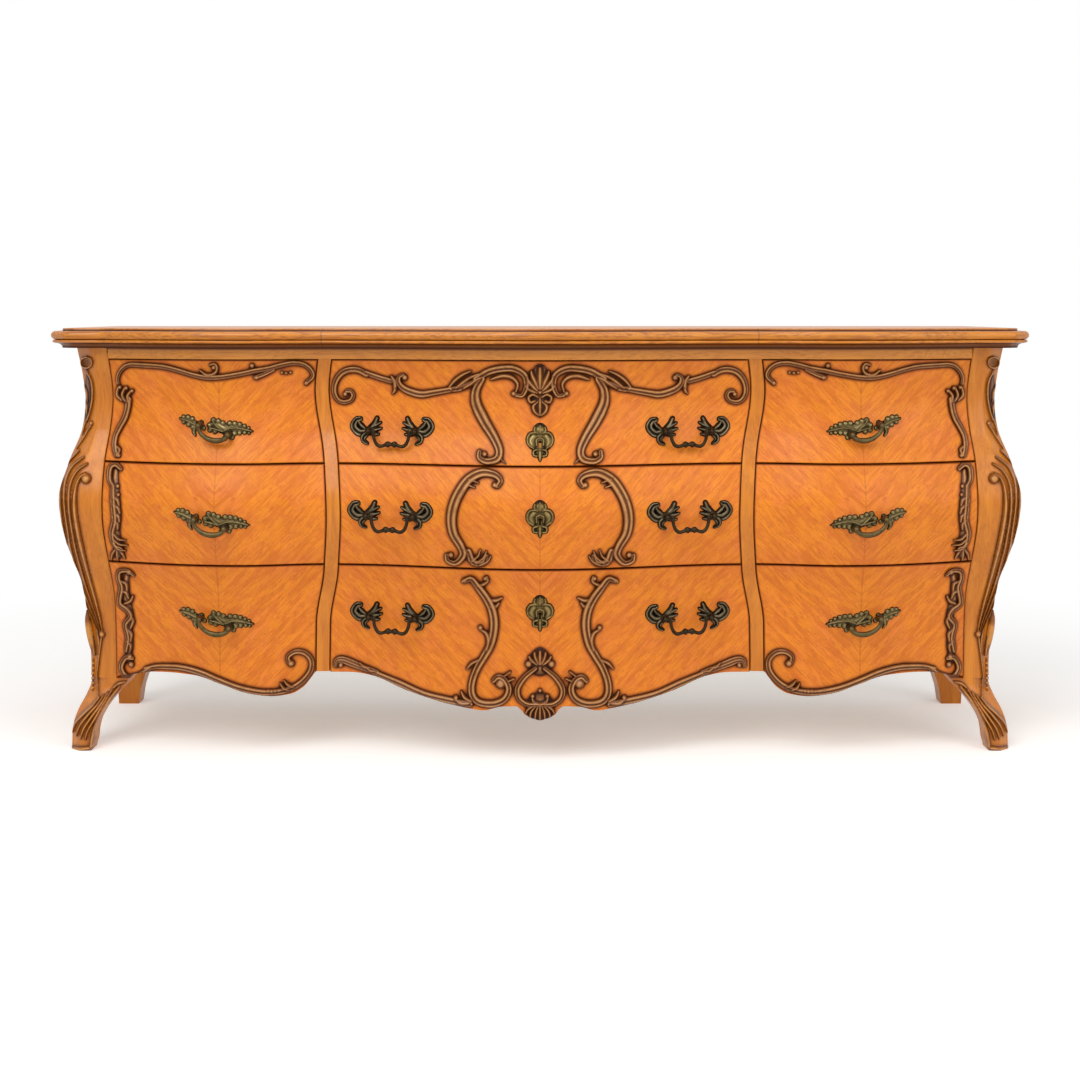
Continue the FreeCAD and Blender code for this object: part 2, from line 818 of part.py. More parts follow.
def build_box(bay, row, mouth):
    """The box behind a drawer front: two sides, a back and a bottom."""
    left, right = BOX_LIMITS[bay]
    foot, head = f"{ROW_FLOOR[row]} + runner_clearance", f"{ROW_CEILING[row]} - box_headroom"
    inside = (f"{left} + box_side", f"{right} - box_side")
    floor_foot = f"{foot} + box_bottom_raise"
    floor_head = f"{floor_foot} + box_bottom"
    depth = ("FRONT_LIMIT", "BOX_REAR")
    name = f"{row}_{bay}"
    walls = [
        board(f"{name}_left", (left, f"{left} + box_side"), depth, (foot, head)),
        board(f"{name}_right", (f"{right} - box_side", right), depth, (foot, head)),
        board(f"{name}_floor", inside, depth, (floor_foot, floor_head)),
        board(f"{name}_rear", inside, ("BOX_REAR - box_back", "BOX_REAR"), (floor_head, head)),
    ]
    subpart(cut(f"{name}_box", compound(f"{name}_walls", walls), mouth), f"{row}_{bay}_drawer_box")


# Pulls

# Where each pull and escutcheon sits between the foot and the head of its drawer.
CENTRE_PULL_LEVEL_SHARES = {"top": 0.31, "middle": 0.507, "bottom": 0.52}
SIDE_PULL_LEVEL_SHARES = {"top": 0.365, "middle": 0.475, "bottom": 0.51}
ESCUTCHEON_LEVEL_SHARES = {"top": 0.22, "middle": 0.5, "bottom": 0.594}
# The bail from its end to its middle: share of half the spacing, share of bail_drop.
BAIL_SHARES = ((0.76, 0.14), (0.76, 0.0), (0.74, -0.33), (0.65, -0.72), (0.46, -1.0), (0.22, -0.93), (0.0, -0.86))
# The cast bar of a side pull, from the inner mount to the outer: the same two shares.
SIDE_BAR_SHARES = (
    (-1.0, -0.40), (-0.97, -0.60), (-0.72, -0.88), (-0.2, -1.0), (0.4, -0.90), (0.80, -0.55), (0.97, -0.20),
    (1.0, 0.05),
)
# The leaf at each mount, as an outline: across, counted outwards from the middle of the pull, and up,
# as shares of the leaf's size.
CENTRE_LEAF_SHARES = (
    (-0.22, -0.14), (-0.02, -0.30), (0.06, -0.72), (0.24, -0.60), (0.22, -0.26), (0.48, -0.12), (0.80, 0.18),
    (0.88, 0.52), (0.62, 0.72), (0.36, 0.56), (0.50, 0.36), (0.20, 0.18), (0.02, 0.30), (-0.02, 0.80),
    (-0.20, 0.86), (-0.26, 0.46), (-0.22, 0.26), (-0.56, 0.10), (-0.42, -0.08),
)
SIDE_LEAF_SHARES = (
    (-0.40, -0.06), (-0.22, -0.14), (-0.02, -0.20), (0.08, -0.46), (0.24, -0.34), (0.24, -0.14), (0.56, -0.02),
    (0.86, 0.14), (1.12, 0.38), (0.78, 0.34), (0.40, 0.26), (0.16, 0.18), (-0.12, 0.14), (-0.44, 0.16),
)
SIDE_INNER_LEAF_SHARES = (
    (-1.42, 0.18), (-1.0, -0.04), (-0.62, -0.10), (-0.40, -0.22), (-0.10, -0.14), (0.22, -0.12), (0.44, 0.06),
    (0.82, 0.10), (0.86, 0.54), (0.58, 0.62), (0.30, 0.72), (0.10, 0.52), (-0.06, 0.28), (-0.30, 0.50),
    (-0.44, 0.22), (-0.80, 0.30), (-1.06, 0.16),
)
BAR_SIDES = 8


def level(shares, row):
    """The height that a share of a drawer's height stands for."""
    foot = size(ROW_FOOT[row])
    return foot + shares[row] * (size(ROW_HEAD[row]) - foot)


def disc(x, z, radius):
    """A round face in the front view."""
    return Part.Face(Part.Wire(Part.makeCircle(radius, Vector(x, 0, z), Vector(0, -1, 0))))


def leaf(shares, block, x, z, scale, outward):
    """A leaf-shaped plate about a mount."""
    points = [Vector(x + outward * across * scale, 0, z + up * scale) for across, up in shares]
    return relief(Part.Face(Part.makePolygon(points + points[:1])), block, size("leaf_height"))


def boss(block, x, z):
    """A boss on the front, drawn in at its end."""
    reach, radius = size("boss_reach"), size("boss_radius")
    foot = Vector(x, front_y(x, z), z)
    shaft = barrel(foot, Vector(0, -1, 0), Vector(1, 0, 0), (radius, radius, radius / 2),
                   (-reach, reach + radius / 2, reach + radius))
    return shaft.cut(block)


def pivot(x, z):
    """The point that a boss carries at its tip."""
    return Vector(x, front_y(x, z) - size("boss_reach"), z)


def ring(place, along, sideways, radius):
    """An eight-sided ring round a place, square to a direction."""
    across = along.cross(sideways).normalize()
    turns = [2 * math.pi * (i + 0.5) / BAR_SIDES for i in range(BAR_SIDES)]
    return [place + (sideways * math.cos(turn) + across * math.sin(turn)) * radius for turn in turns]


def bar(start, end, shares, drop, radius):
    """An eight-sided bar that hangs from two points, bent where each share says."""
    middle, half = (start + end) / 2, (end - start) / 2
    points = [
        Vector(middle.x + half.x * along, middle.y + half.y * along, start.z + drop * fall)
        for along, fall in shares
    ]
    sideways = Vector(-half.y, half.x, 0).normalize()
    sweep = Part.BRepOffsetAPI.MakePipeShell(Part.makePolygon(points))
    sweep.setBiNormalMode(sideways)
    sweep.setTransitionMode(1)
    section = ring(points[0], points[1] - points[0], sideways, radius)
    sweep.add(Part.makePolygon(section + section[:1]), False, False)
    sweep.build()
    sweep.makeSolid()
    return sweep.shape(), points


def barrel(place, along, sideways, radii, lengths):
    """An eight-sided barrel along a direction, with a radius at each length."""
    along = Vector(along).normalize()
    return stacked([
        ring(place + along * length, along, sideways, radius) for length, radius in zip(lengths, radii)
    ])


def centre_mounts(row, x, z):
    """The two leafy mounts of a bail pull, and where the bail turns."""
    half, block = size("centre_pull_spacing / 2"), row_block(row)
    spots = (x - half, x + half)
    pivots = [pivot(spot, z) for spot in spots]
    along = (pivots[1] - pivots[0]).normalize()
    bore = Part.makeCylinder(
        size("pivot_radius + pivot_clearance"), size("centre_pull_spacing + 4 * boss_radius"),
        pivots[0] - along * size("2 * boss_radius"), along,
    )
    mounts = []
    for spot, outward in zip(spots, (-1, 1)):
        plate = leaf(CENTRE_LEAF_SHARES, block, spot, z, size("centre_leaf"), outward)
        mounts.append(plate.fuse(boss(block, spot, z)).cut(bore))
    return mounts, pivots


def bail(pivots):
    """A swinging bail: a hanging bar with a knot in its middle and a pin at each end."""
    start, end = pivots
    along, half = (end - start).normalize(), (end - start).Length / 2
    middle = (start + end) / 2
    sideways = Vector(-along.y, along.x, 0)
    shares = list(BAIL_SHARES) + [(-across, fall) for across, fall in BAIL_SHARES[-2::-1]]
    hoop, points = bar(end, start, shares, size("bail_drop"), size("bail_radius"))
    thin, thick = size("bail_radius"), size("bail_knot")
    knot = barrel(
        points[len(BAIL_SHARES) - 1], along, sideways, (thin, thick, thick, thin),
        (-thick - thin, -thin, thin, thick + thin),
    )
    eye = half * BAIL_SHARES[0][0]
    pins = [
        Part.makeCylinder(size("pivot_radius"), half - eye + size("boss_radius"), middle + along * side * eye,
                          along * side)
        for side in (-1, 1)
    ]
    return hoop.fuse([knot] + pins)


def side_pull(row):
    """The right-hand cast pull: a leaf at each end of a looped bar, in one casting."""
    x, z, block = size("side_pull_place"), level(SIDE_PULL_LEVEL_SHARES, row), row_block(row)
    half, fall = size("side_pull_spacing / 2"), size("side_pull_fall")
    outer_end, inner_end = (x + half, z), (x - half, z - fall)
    leaves = [
        leaf(SIDE_LEAF_SHARES, block, *outer_end, size("side_leaf"), 1),
        leaf(SIDE_INNER_LEAF_SHARES, block, *inner_end, size("side_leaf"), 1),
    ]
    tips = [pivot(*inner_end), pivot(*outer_end)]
    tips[0].z = tips[1].z
    grip, _ = bar(*tips, SIDE_BAR_SHARES, size("side_bar_drop"), size("side_bar_radius"))
    return grip.fuse(leaves + [boss(block, *inner_end), boss(block, *outer_end)])


# Carving

# Strokes of carving on each kind of drawer front: the width as a share of scroll_width, then points. On
# a side drawer, across counts from stile to post. On the centre one it counts from the middle to the
# stile. Up counts from the foot of the drawer to its head.
CARVING_SHARES = {
    ("side", "top"): (
        (1.0, ((0.96, 0.77), (0.957, 0.85), (0.92, 0.93), (0.86, 0.945), (0.76, 0.925), (0.62, 0.85),
               (0.50, 0.82), (0.39, 0.86), (0.26, 0.91), (0.15, 0.955), (0.085, 0.92), (0.065, 0.84),
               (0.09, 0.77))),
        (1.1, ((0.91, 0.66), (0.91, 0.53), (0.93, 0.42), (0.96, 0.29), (0.97, 0.19), (0.965, 0.09))),
    ),
    ("side", "middle"): (
        (1.1, ((0.92, 0.92), (0.947, 0.955), (0.965, 0.92), (0.968, 0.84), (0.955, 0.76), (0.955, 0.6),
               (0.952, 0.42), (0.962, 0.26), (0.95, 0.16), (0.915, 0.12))),
    ),
    ("side", "bottom"): (
        (1.1, ((0.90, 0.89), (0.95, 0.86), (0.945, 0.74), (0.955, 0.60), (0.92, 0.53), (0.905, 0.47),
               (0.93, 0.40), (0.91, 0.28), (0.93, 0.15), (0.945, 0.04), (0.92, -0.03), (0.87, -0.03),
               (0.80, 0.05), (0.73, 0.075), (0.65, 0.07), (0.56, 0.02), (0.48, -0.045), (0.40, -0.105),
               (0.32, -0.145), (0.25, -0.155), (0.175, -0.145), (0.115, -0.09), (0.075, 0.01),
               (0.07, 0.10), (0.10, 0.17), (0.15, 0.185))),
    ),
    ("centre", "top"): (
        (0.9, ((0.81, 0.865), (0.85, 0.90), (0.885, 0.91), (0.92, 0.885), (0.95, 0.82), (0.955, 0.74),
               (0.95, 0.66), (0.92, 0.61), (0.885, 0.615), (0.87, 0.66))),
        (0.9, ((0.81, 0.865), (0.74, 0.83), (0.66, 0.78), (0.61, 0.70), (0.55, 0.67), (0.49, 0.68),
               (0.41, 0.73), (0.35, 0.81), (0.29, 0.865))),
        (1.1, ((0.29, 0.865), (0.24, 0.885), (0.18, 0.91), (0.11, 0.91), (0.065, 0.85), (0.06, 0.75),
               (0.08, 0.66))),
        (1.1, ((0.29, 0.865), (0.30, 0.72), (0.295, 0.58), (0.255, 0.41), (0.205, 0.25), (0.18, 0.13),
               (0.21, 0.06), (0.26, 0.065), (0.275, 0.12))),
    ),
    ("centre", "middle"): (
        (1.1, ((0.19, 0.81), (0.175, 0.88), (0.21, 0.94), (0.26, 0.95), (0.325, 0.89), (0.365, 0.79),
               (0.395, 0.65), (0.405, 0.50), (0.40, 0.36), (0.36, 0.23), (0.35, 0.14), (0.385, 0.08),
               (0.425, 0.10))),
        (1.1, ((0.35, 0.14), (0.31, 0.09), (0.26, 0.07), (0.25, 0.14))),
    ),
    ("centre", "bottom"): (
        (1.1, ((0.35, 0.88), (0.315, 0.895), (0.285, 0.83), (0.25, 0.72), (0.22, 0.61), (0.21, 0.47),
               (0.225, 0.32), (0.26, 0.20), (0.30, 0.08), (0.315, -0.05), (0.30, -0.16), (0.265, -0.215),
               (0.21, -0.225), (0.16, -0.18), (0.145, -0.09), (0.165, 0.0), (0.20, 0.03))),
    ),
}
# Discs of carving: place across and up, radius as a share of shell_size.
SHELL_SHARES = {
    ("side", "top"): ((0.92, 0.70, 0.85),),
    ("side", "middle"): ((0.94, 0.05, 0.55),),
    ("side", "bottom"): ((0.86, 0.02, 0.5),),
    ("centre", "top"): (),
    ("centre", "middle"): ((0.29, 0.11, 0.7),),
    ("centre", "bottom"): (),
}


# How wide a stroke's ends are, as a share of its width, and over how many steps it grows to that width.
STROKE_END_SHARE = 0.55
STROKE_TAPER_STEPS = 3


def carving_point(kind, row, across, up):
    """A place on a drawer front in the front view, on the right-hand side."""
    foot, head = size(ROW_FOOT[row]), size(ROW_HEAD[row])
    start, end = (0, size("stile_centre")) if kind == "centre" else (size("stile_centre"), size("post_inner"))
    return Vector(start + across * (end - start), 0, foot + up * (head - foot))


def stroke(points, width):
    """A band of carving along a smooth line, drawn in at both ends."""
    path = spline(points)
    count = len(points) + STROKE_TAPER_STEPS
    left, right = [], []
    for i, t in enumerate(steps(path.FirstParameter, path.LastParameter, count)):
        place, along = path.valueAt(t), path.tangentAt(t)
        taper = min(1, STROKE_END_SHARE + (1 - STROKE_END_SHARE) * min(i, count - 1 - i) / STROKE_TAPER_STEPS)
        across = Vector(-along.z, 0, along.x) * width / 2 * taper
        left.append(place + across)
        right.append(place - across)
    return Part.Face(Part.makePolygon(left + right[::-1] + left[:1]))


def carving(kind, row, outline):
    """The carving on one drawer front, a side bay's being the right-hand one."""
    strokes = [
        stroke([carving_point(kind, row, *place) for place in places], share * size("scroll_width"))
        for share, places in CARVING_SHARES[(kind, row)]
    ]
    for across, up, share in SHELL_SHARES[(kind, row)]:
        place = carving_point(kind, row, across, up)
        strokes.append(disc(place.x, place.z, share * size("shell_size")))
    outlines = strokes[0].fuse(strokes[1:]).removeSplitter() if len(strokes) > 1 else strokes[0]
    if kind == "centre":
        outlines = Part.makeCompound([outlines, mirrored(outlines)])
    return relief(outlines.common(outline), row_block(row), size("carving_height"))


# The right-hand half of an escutcheon, from its head down, as shares of its half width and half height.
ESCUTCHEON_SHARES = (
    (0.0, 1.0), (0.20, 0.80), (0.45, 0.70), (0.70, 0.76), (0.95, 0.50), (1.0, 0.28), (0.72, 0.05),
    (0.62, -0.20), (0.80, -0.45), (0.70, -0.66), (0.40, -0.72), (0.18, -0.90),
)


def escutcheon(row):
    """The keyhole plate in the middle of a centre drawer."""
    z = level(ESCUTCHEON_LEVEL_SHARES, row)
    half_width, half_height = size("escutcheon_width / 2"), size("escutcheon_height / 2")
    right = [Vector(half_width * across, 0, z + half_height * up) for across, up in ESCUTCHEON_SHARES]
    left = [Vector(-point.x, 0, point.z) for point in right[:0:-1]]
    outline = right + [Vector(0, 0, z - half_height)] + left
    plate = Part.Face(Part.makePolygon(outline + outline[:1]))
    radius = size("keyhole_radius")
    slot = Part.makePolygon([
        Vector(radius * side, 0, z - drop * size("keyhole_drop"))
        for side, drop in ((-0.5, 0), (0.5, 0), (0.9, 1), (-0.9, 1), (-0.5, 0))
    ])
    keyhole = disc(0, z, radius).fuse(Part.Face(slot)).removeSplitter()
    return relief(plate.cut(keyhole), row_block(row), size("escutcheon_thickness"))


def drawer_front(bay, row):
    """One drawer front: curved both ways in front, and flat from top to bottom inside."""
    return row_block(row).common(through(drawer_outline(bay, row))).cut(behind(row_recess(row)))


def build_centre_drawer(row, mouth):
    """A centre drawer: front, box, carving, two bail pulls and an escutcheon."""
    mounts, pivots = centre_mounts(row, size("centre_pull_place"), level(CENTRE_PULL_LEVEL_SHARES, row))
    swinging = bail(pivots)
    shapes = {
        "drawer_front": drawer_front("centre", row),
        "drawer_carving": carving("centre", row, drawer_outline("centre", row)),
        "pull_mounts": Part.makeCompound(mounts + [mirrored(mount) for mount in mounts]),
        "bail_left": mirrored(swinging),
        "bail_right": swinging,
        "escutcheon": escutcheon(row),
    }
    for name, shape in shapes.items():
        subpart(piece(f"{row}_centre_{name}", shape), f"{row}_centre_{name}")
    build_box("centre", row, mouth)
    print(f"{row} bail turns about", [tuple(round(value, 3) for value in point) for point in pivots])


def build_side_drawers(row, mouth):
    """The two side drawers of a row: front, box, carving and a cast pull each."""
    shapes = {
        "drawer_front": drawer_front("side", row),
        "drawer_carving": carving("side", row, drawer_outline("side", row)),
        "pull": side_pull(row),
    }
    for side in SIDES:
        for name, shape in shapes.items():
            label = f"{row}_{side}_{name}"
            subpart(piece(label, shape if side == "right" else mirrored(shape)), label)
        build_box(side, row, mouth)


def build_drawers():
    """The nine drawers, from the top row down."""
    for row in ROWS:
        mouth = piece(f"AheadOfBoxes_{row}", ahead(row_recess(row) + size("fit_clearance")))
        build_side_drawers(row, mouth)
        build_centre_drawer(row, mouth)


def check_and_write():
    """Stops on any failed object, then writes each sub-part."""
    DOC.recompute()
    for item in DOC.Objects:
        if "Invalid" in item.State or "Error" in item.State:
            raise RuntimeError(f"{item.Label} failed: {item.State}")
    faults = [
        item.Label for item in SUBPARTS
        if item.Shape.isNull() or not item.Shape.isValid() or not item.Shape.Solids
    ]
    if faults:
        raise RuntimeError(f"no valid solid in {faults}")
    os.makedirs("parts", exist_ok=True)
    for item in SUBPARTS:
        item.Shape.exportStep(f"parts/{item.Label}.step")
    print(len(SUBPARTS), "sub-parts written", flush=True)


build_top()
build_posts()
subpart(piece("FriezeRail", frieze_rail()), "frieze_rail")
right_stile = stile()
subpart(piece("Stiles", Part.makeCompound([mirrored(right_stile), right_stile])), "stiles")
build_boards()
build_guides()
build_drawers()
check_and_write()
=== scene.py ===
"""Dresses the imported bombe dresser: veneer, carving, cast pulls, a pale floor, soft light and a camera.

The case, the top and the posts follow the same named lines as the solids. Carving and castings are raised
out of those surfaces: each stroke of the carver is a line with a width, a height and a number of ridges,
given in pixels of the photograph and laid on the surface that carries it.
"""

import bmesh
import bpy
import numpy as np
from bpy.props import FloatProperty, FloatVectorProperty, PointerProperty
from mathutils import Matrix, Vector


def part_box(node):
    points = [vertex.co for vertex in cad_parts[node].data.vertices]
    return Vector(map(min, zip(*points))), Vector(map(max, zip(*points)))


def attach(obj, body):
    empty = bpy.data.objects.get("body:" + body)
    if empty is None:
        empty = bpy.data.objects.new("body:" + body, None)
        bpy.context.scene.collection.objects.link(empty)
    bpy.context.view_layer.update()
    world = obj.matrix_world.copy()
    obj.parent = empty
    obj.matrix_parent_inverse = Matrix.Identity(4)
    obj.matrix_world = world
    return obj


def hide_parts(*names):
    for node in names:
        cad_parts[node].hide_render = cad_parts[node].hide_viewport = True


bl_info = {
    "name": "Bombe dresser",
    "version": (1, 0, 0),
    "blender": (4, 5, 0),
    "location": "3D View > Sidebar > Dresser",
    "description": "Builds the looks of a bombe dresser on its packed solids",
    "category": "Object",
}

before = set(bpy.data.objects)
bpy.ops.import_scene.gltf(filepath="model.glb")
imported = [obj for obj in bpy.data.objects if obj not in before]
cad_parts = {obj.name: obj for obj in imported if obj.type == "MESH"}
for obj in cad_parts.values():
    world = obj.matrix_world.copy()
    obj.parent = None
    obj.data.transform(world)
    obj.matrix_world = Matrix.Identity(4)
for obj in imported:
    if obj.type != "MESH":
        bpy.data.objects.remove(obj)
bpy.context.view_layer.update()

SIDES = ("left", "right")
BAYS = ("left", "centre", "right")
ROWS = ("top", "middle", "bottom")
MM = 0.001

# Main sizes in millimetres, as the solids have them; the back panel lies a reveal inside the posts.
CASE_TOP = 820.0
OVERALL_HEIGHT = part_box("top_board")[1].z / MM
BACK_REVEAL = 6.0
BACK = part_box("back_panel")[1].y / MM + BACK_REVEAL
POST_PLANE = 142.0
POST_REAR = -67.0
REAR_POST_FRONT = 255.0
FRIEZE_FOOT = 798.0
CENTRE_BOW, FLANK_BOW, STILE_BOW = 126.0, 74.0, 49.0
BELLY_SWELL = 36.0
POST_OUTER, POST_SIDE_SWELL = 955.0, 28.0
POST_INNER, POST_INNER_SWAY = 880.0, 8.0
REAR_POST_INNER = 868.0
LEG_HEIGHT, LEG_WIDTH = 139.0, 84.0
STILE_CENTRE, STILE_SWAY, STILE_WIDTH, STILE_FOOT = 431.0, 19.0, 26.0, 164.0
FRONT_THICKNESS = 22.0
DRAWER_GAP = 3.0
NOSE_OVERHANG, LIP_OVERHANG = 45.0, 23.0
SIDE_THICKNESS, SIDE_REVEAL, SIDE_FOOT, SIDE_ARCH = 19.0, 1.5, 160.0, 22.0
BOSS_REACH = 24.0

ROW_HEAD = {"top": FRIEZE_FOOT, "middle": 590.0, "bottom": 387.0}
ROW_FOOT = {"top": 590.0, "middle": 387.0, "bottom": STILE_FOOT}

# How far the front swells at each level: share of the case's height, share of the belly's swell.
FRONT_SWELL_SHARES = (
    (0.08, -0.86), (0.19, -0.83), (0.285, -0.70), (0.40, -0.30), (0.52, 0.62), (0.62, 1.0),
    (0.72, 0.40), (0.80, -0.33), (0.865, -0.50), (0.93, -0.33), (1.0, 0.0),
)
POST_SWELL_SHARES = (
    (0.0, 0.18), (0.034, 0.18), (0.062, 0.10), (0.092, -0.14), (0.125, -0.56), (0.155, -0.80),
) + FRONT_SWELL_SHARES[1:]
POST_INNER_SHARES = (
    (0.15, -1.1), (0.35, -1.1), (0.48, -0.1), (0.58, 0.75), (0.70, 0.75), (0.88, -0.5), (1.0, 0.6),
)
LEG_WIDTH_SHARES = (
    (0.0, 0.55), (0.14, 0.60), (0.37, 0.62), (0.57, 0.68), (0.74, 0.76), (0.90, 0.94), (1.0, 1.03),
)
STILE_SHARES = (
    (0.18, 0.50), (0.32, 0.40), (0.46, -0.60), (0.60, -1.0), (0.72, -0.66), (0.895, 0.50), (1.0, 0.0),
)
SIDE_APRON_SHARES = (
    (0.0, 0.99), (0.02, 0.93), (0.06, 0.81), (0.12, 0.73), (0.20, 0.71), (0.32, 0.755), (0.46, 0.875),
    (0.60, 0.97), (0.72, 0.985), (0.84, 0.97), (0.93, 0.92), (1.0, 0.885),
)
CENTRE_APRON_SHARES = (
    (0.0, 0.99), (0.10, 0.99), (0.22, 0.945), (0.36, 0.805), (0.48, 0.715), (0.58, 0.655), (0.66, 0.62),
    (0.73, 0.60), (0.82, 0.655), (0.90, 0.665), (0.93, 0.565), (0.96, 0.53), (1.0, 0.50),
)
FLANK_PEAK = STILE_CENTRE + 0.37 * (POST_INNER + POST_INNER_SWAY - STILE_CENTRE)
# How much of a post's width its canted corner takes, and of the same width the corner of the top.
CANT_SHARE = 0.5
TOP_CANT_SHARE = 0.18

# Easing of edges in millimetres: most edges, thin edges, and the arris between a post's two facets.
EDGE_EASE, THIN_EASE, ARRIS_EASE = 2.5, 1.5, 5.0
# Where the points of an eased edge lie, as shares of its radius.
EASE_SHARES = (0.0, 0.12, 0.35, 0.7, 1.0)
# Edges that meet at more than this many degrees stay crisp: on most pieces, the top and the carved posts.
CRISP, TOP_CRISP, POST_CRISP = 40, 50, 60

# The photograph: focal length in pixels, the horizon, and the camera's place in millimetres.
PHOTO_SIZE = 1080
PHOTO_FOCAL = 1715.0
PHOTO_MIDDLE, PHOTO_HORIZON = 540.0, 310.0
CAMERA_BACK, CAMERA_HEIGHT = 3642.0, 897.0
# What one pixel of the photograph covers on the front, in millimetres.
PIXEL = 1.98
# Rounds in which the place of a pixel on a curved surface settles.
LAYING_ROUNDS = 8


# Lines of the case, the same as in the solids


def follow(shares, place):
    """The value at each place on a smooth line through pairs of place and value."""
    places = np.array([pair[0] for pair in shares])
    values = np.array([pair[1] for pair in shares])
    runs = np.diff(places)
    rises = np.diff(values) / runs
    slopes = np.zeros(len(shares))
    before, after = rises[:-1], rises[1:]
    turning = before * after <= 0
    slopes[1:-1] = np.where(turning, 0.0, 2 * before * after / np.where(turning, 1.0, before + after))
    slopes[-1] = rises[-1]
    place = np.clip(place, places[0], places[-1])
    i = np.clip(np.searchsorted(places, place, side="right") - 1, 0, len(shares) - 2)
    run = runs[i]
    t = (place - places[i]) / run
    leave, arrive = (t**3 - 2 * t**2 + t) * run, (t**3 - t**2) * run
    blend = 3 * t**2 - 2 * t**3
    return values[i] + (values[i + 1] - values[i]) * blend + leave * slopes[i] + arrive * slopes[i + 1]


def plan_bow(x):
    """How far the front stands forward of the corner posts, seen from above."""
    x = np.abs(x)
    end = POST_INNER + POST_INNER_SWAY
    centre = STILE_BOW + (CENTRE_BOW - STILE_BOW) * (1 + np.cos(np.pi * x / STILE_CENTRE)) / 2
    rise = (1 - np.cos(np.pi * (x - STILE_CENTRE) / (FLANK_PEAK - STILE_CENTRE))) / 2
    flank = STILE_BOW + (FLANK_BOW - STILE_BOW) * rise
    tail = FLANK_BOW * np.cos(np.pi / 2 * (x - FLANK_PEAK) / (end - FLANK_PEAK))
    return np.where(x <= STILE_CENTRE, centre, np.where(x <= FLANK_PEAK, flank, tail))


def front_swell(z):
    """How far the front swells forward at each level."""
    return BELLY_SWELL * follow(FRONT_SWELL_SHARES, z / CASE_TOP)


def front_y(x, z):
    """Where the face of the front lies."""
    return -(POST_PLANE + plan_bow(x) + front_swell(z))


def post_front_y(z):
    """Where the front facet of a corner post lies."""
    return -(POST_PLANE + BELLY_SWELL * follow(POST_SWELL_SHARES, z / CASE_TOP))


def post_outer_x(z):
    """The outer edge of a corner post."""
    return POST_OUTER + POST_SIDE_SWELL * follow(POST_SWELL_SHARES, z / CASE_TOP)


def post_inner_x(z):
    """The inner edge of a front post."""
    return POST_INNER + POST_INNER_SWAY * follow(POST_INNER_SHARES, z / CASE_TOP)


def stile_x(z):
    """The centre line of a stile."""
    return STILE_CENTRE + STILE_SWAY * follow(STILE_SHARES, z / CASE_TOP)


def leg_width(z):
    """How wide a leg is at each level below the case."""
    return LEG_WIDTH * follow(LEG_WIDTH_SHARES, z / LEG_HEIGHT)


def corner_y(x, z, inner):
    """The face of a front post or leg: a front facet and a canted corner."""
    outer = post_outer_x(z)
    cant = CANT_SHARE * np.minimum(outer - inner, POST_OUTER - POST_INNER)
    past = np.abs(x) - (outer - cant)
    return post_front_y(z) + (past + np.sqrt(past**2 + ARRIS_EASE**2)) / 2


def laid_on(pixels, surface):
    """Where pixels of the photograph fall on a surface of the dresser, as x and z in millimetres."""
    u, v = np.array(pixels, float).T
    away = np.full(len(u), CAMERA_BACK - POST_PLANE)
    for _ in range(LAYING_ROUNDS):
        x = (u - PHOTO_MIDDLE) * away / PHOTO_FOCAL
        z = CAMERA_HEIGHT - (v - PHOTO_HORIZON) * away / PHOTO_FOCAL
        away = CAMERA_BACK + surface(x, z)
    return np.stack([x, z], axis=1)


# Meshes

# The back of a sheet has one point for so many of its face.
BACK_STRIDE = 6
# Steps between two given points of a smooth line, before they are spaced evenly.
CURVE_STEPS = 12


def settings():
    """The sizes and colours that a user may change."""
    return bpy.context.scene.dresser


def add_piece(name, points, faces, material, body, replaced, slot, marks=None, crisp=0):
    """Makes one object from points in millimetres, hangs it on its body and hides the solids that it stands
    for.

    A closed piece gives the angle in degrees past which its edges stay crisp, and its faces are turned
    outwards. An open relief gives none.
    """
    mesh = bpy.data.meshes.new(name)
    mesh.from_pydata((np.asarray(points) * MM).tolist(), [], faces)
    mesh.polygons.foreach_set("use_smooth", [True] * len(mesh.polygons))
    for mark, values in (marks or {}).items():
        mesh.attributes.new(mark, "FLOAT", "POINT").data.foreach_set("value", np.asarray(values, np.float32))
    if crisp:
        work = bmesh.new()
        work.from_mesh(mesh)
        bmesh.ops.recalc_face_normals(work, faces=work.faces)
        work.to_mesh(mesh)
        work.free()
        mesh.set_sharp_from_angle(angle=np.radians(crisp))
    mesh.materials.append(material)
    piece = bpy.data.objects.new(name, mesh)
    bpy.context.scene.collection.objects.link(piece)
    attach(piece, body)
    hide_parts(*replaced)


def grid_faces(rows, columns, start=0):
    """The quads of a grid of points, row by row."""
    corner = (np.arange(rows - 1)[:, None] * columns + np.arange(columns - 1)).ravel() + start
    return np.stack([corner, corner + 1, corner + columns + 1, corner + columns], axis=1).tolist()


